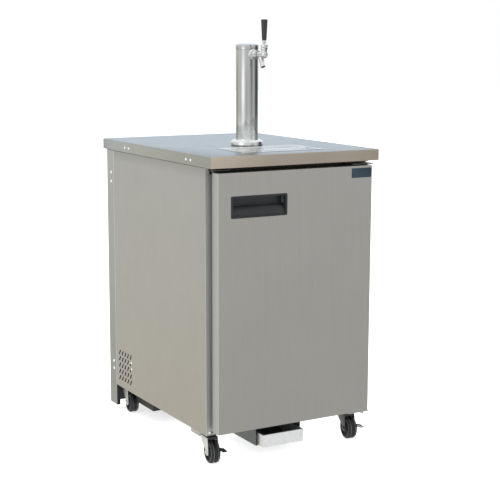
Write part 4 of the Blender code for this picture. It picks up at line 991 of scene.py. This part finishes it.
def caster_space(corner):
    """The matrix from a caster's own space, with its swivel axis on Z, to the frame."""
    swivel = Vector(JOINTS["swivel_" + corner]["pos_m"])
    across = Vector(JOINTS["roll_" + corner]["axis"])
    angle = math.atan2(across.y, across.x)
    return Matrix.Translation((swivel.x, swivel.y, 0)) @ Matrix.Rotation(angle, 4, "Z")


WHEEL = 0.0381
TRAIL = 0.025
HALF_TYRE = 0.0155
BRACKET_X = 0.3036


def caster_tyre():
    """Tread with two fine grooves and round shoulders, on its own axle line."""
    half = HALF_TYRE
    side = [(WHEEL - 0.0004, 0.0), (WHEEL - 0.0004, 0.0034), (WHEEL - 0.0016, 0.0042)]
    side += [(WHEEL - 0.0016, 0.0052), (WHEEL, 0.006), (WHEEL - 0.0001, 0.0104), (WHEEL - 0.001, 0.0128)]
    side += [(WHEEL - 0.0028, half - 0.0008), (WHEEL - 0.0055, half), (0.0296, half)]
    side += [(0.0286, half - 0.001), (0.0276, half), (0.0262, half - 0.0002)]
    side += [(0.0256, half - 0.0016), (0.0252, half - 0.004), (0.025, 0.0)]
    profile = side + [(radius, -x) for radius, x in reversed(side[1:-1])]
    return moved(lathe(profile, 72), ALONG_X)


def caster_glint_rings():
    """Paler rings on the crowns of the tread and of the side wall, painted highlights."""
    rings = []
    for radius, x, wide, tall in ((WHEEL + 0.0001, 0.0078, 0.0015, 0.0006), (0.0322, 0.0156, 0.0003, 0.0016)):
        for sign in (-1, 1):
            middle = sign * x
            ring = [(radius - tall, middle - wide), (radius, middle - wide * 0.6),
                    (radius, middle + wide * 0.6), (radius - tall, middle + wide)]
            rings.append(lathe(ring, 72))
    return moved(together(rings), ALONG_X)


def caster_hub():
    """Hub disc with a raised ring, ribs and a bearing boss."""
    half = HALF_TYRE
    side = [(0.02515, 0.0), (0.02515, half - 0.0042), (0.0244, half - 0.003), (0.0226, half - 0.003),
            (0.022, half - 0.0048), (0.013, half - 0.0056), (0.012, half - 0.003), (0.0112, half - 0.0012),
            (0.0085, half + 0.0004), (0.0046, half + 0.001), (0.0043, half + 0.0006)]
    profile = side + [(radius, -x) for radius, x in reversed(side[1:])]
    disc = lathe(profile, 60)
    ribs = []
    for i in range(10):
        for sign in (-1, 1):
            low, high = sorted((sign * (half - 0.0062), sign * (half - 0.0036)))
            ribs.append(moved(block(0.0115, 0.0232, -0.0008, 0.0008, low, high), turn(36 * i, "Z")))
    return moved(joined(disc, together(ribs)), ALONG_X)


def caster_leg(sign):
    """One pressed leg of the fork, drawn in at the axle."""
    inside, sheet = 0.0175, 0.0025
    outline = [(0.0285, 0.0872), (0.027, 0.08), (0.015, 0.066)]
    for i in range(13):
        angle = math.radians(25 - 215 * i / 12)
        outline.append((-TRAIL + 0.0118 * math.cos(angle), WHEEL + 0.0118 * math.sin(angle)))
    outline += [(-0.0345, 0.06), (-0.0305, 0.08), (-0.029, 0.0872)]
    low, high = sorted((sign * inside, sign * (inside + sheet)))
    leg = prism(filleted(outline, 0.002, steps=2), low, high, "X")
    return eased(leg, 0.0006, 40.0)


def caster_crown():
    """Fork crown and lower race."""
    crown = prism(round_rectangle(-0.02, 0.02, -0.029, 0.0285, 0.005), 0.085, 0.0874)
    crown = eased(crown, 0.0006)
    race = lathe([(0, 0.0868), (0.0215, 0.0868), (0.0235, 0.0885), (0.0238, 0.0902), (0.0228, 0.0924),
                  (0.0205, 0.0934), (0, 0.0934)], 60)
    return together([crown, race])


def axle_bolt():
    """Axle with a hexagon head and a nut."""
    parts = [drum(0.004, -0.021, 0.021)]
    for sign in (-1, 1):
        low, high = sorted((sign * 0.0202, sign * 0.024))
        parts.append(eased(drum(0.0064, low, high, 6), 0.0004, 40.0))
    return moved(together(parts), ALONG_X)


def caster_plate():
    """Top plate with its upper race, four bolts and their washers."""
    top, thick = 0.1017, 0.003
    plate = eased(prism(round_rectangle(-0.033, 0.033, -0.044, 0.044, 0.006), top - thick, top), 0.0005)
    race = lathe([(0, 0.0939), (0.0172, 0.0939), (0.0192, 0.095), (0.0198, 0.097),
                  (0.019, top - thick + 0.0004), (0, top - thick + 0.0004)], 48)
    parts = [plate, race]
    for x in (-0.0245, 0.0245):
        for y in (-0.0345, 0.0345):
            washer = drum(0.006, -0.0008, 0.0004, 28)
            head = eased(drum(0.0044, -0.0036, -0.0006, 6), 0.0003)
            parts.append(moved(together([washer, head]), shift(x, y, top - thick)))
    return together(parts)


def caster_bracket():
    """The folded end of the cross rail that a front caster bolts to."""
    return eased(block(-0.0008, 0.0008, -0.006, 0.06, 0.0888, 0.1016), 0.0004)


def brake_lever():
    """Pedal with a ribbed toe, on a strap from one end of the axle bolt."""
    outline = [(0.002, -0.0075), (0.0085, -0.0045), (0.0105, 0.0), (0.0085, 0.0062), (0.002, 0.0105),
               (-0.01, 0.0122), (-0.044, 0.0212), (-0.072, 0.0196), (-0.0728, 0.0166), (-0.048, 0.0148),
               (-0.025, 0.006), (-0.008, -0.005)]
    parts = [eased(prism(filleted(outline, 0.0015, steps=2), 0.0208, 0.0228, "X"), 0.0004, 40.0)]
    toe = prism(round_rectangle(0.0075, 0.0226, -0.0728, -0.044, 0.003), 0.0168, 0.0184)
    parts.append(eased(toe, 0.0006))
    for i in range(6):
        y = -0.07 + 0.004 * i
        parts.append(eased(block(0.0095, 0.02, y, y + 0.0016, 0.0182, 0.0189), 0.0003))
    return together(parts)


def caster_guard():
    """The dark guard between the wheel and the crown of the fork."""
    side_view = [(-0.0285, 0.0852), (-0.0285, 0.079), (-0.0245, 0.0778), (0.016, 0.0778), (0.0265, 0.0852)]
    return eased(prism(side_view, -0.0168, 0.0168, "X"), 0.0005)


def make_casters():
    """Four casters in their own spaces; the front two have brakes and folded brackets."""
    tyre, rings, hub, bolt, plate = caster_tyre(), caster_glint_rings(), caster_hub(), axle_bolt(), caster_plate()
    crown, guard, pedal, bracket = caster_crown(), caster_guard(), brake_lever(), caster_bracket()
    legs = together([caster_leg(-1), caster_leg(1), moved(bolt, shift(0, -TRAIL, WHEEL))])
    for corner in CORNERS:
        left = corner.endswith("left")
        space = caster_space(corner)
        axle = space @ shift(0, -TRAIL, WHEEL)
        spot = space.to_translation()
        rows = [
            ("top", plate, shift(spot.x, spot.y, 0), "shaded", "zinc_plate", None, "plate"),
            # painted light and shade: the left forks in a lit zinc, the right ones in the shaded zinc
            ("legs", legs, space, "leg" if left else "shaded", "zinc_plate", "fork", "fork"),
            ("crown", crown, space, "shaded", "zinc_plate", "fork", None),
            ("guard", guard, space, "plastic", "black_plastic", "fork", None),
            ("tyre", tyre, axle, "rubber", "black_rubber", "wheel", "wheel"),
            # painted highlight: paler rings on the tread and side wall
            ("rings", rings, axle, "tyre_glint", "black_rubber", "wheel", None),
            ("hub", hub, axle, "plastic", "black_plastic", "wheel", None),
        ]
        if corner.startswith("front"):
            bracket_place = shift(math.copysign(BRACKET_X, spot.x), spot.y, 0)
            # painted shade: the left pedal is given black paint and the right one zinc
            rows.append(("pedal", pedal, axle, "paint" if left else "zinc", "zinc_plate", "brake", "brake"))
            rows.append(("bracket", bracket, bracket_place, "zinc", "zinc_plate", None, None))
        for name, mesh, place, look, slot, body, node in rows:
            piece("caster_" + name + "_" + corner, moved(mesh, place), look,
                  body + "_" + corner if body else "cabinet",
                  ["caster_" + node + "_" + corner] if node else ())


make_camera()
make_studio()
make_cabinet()
make_machines()
make_tower()
make_faucet()
make_drip_tray()
make_door()
make_condensate_tray()
make_casters()
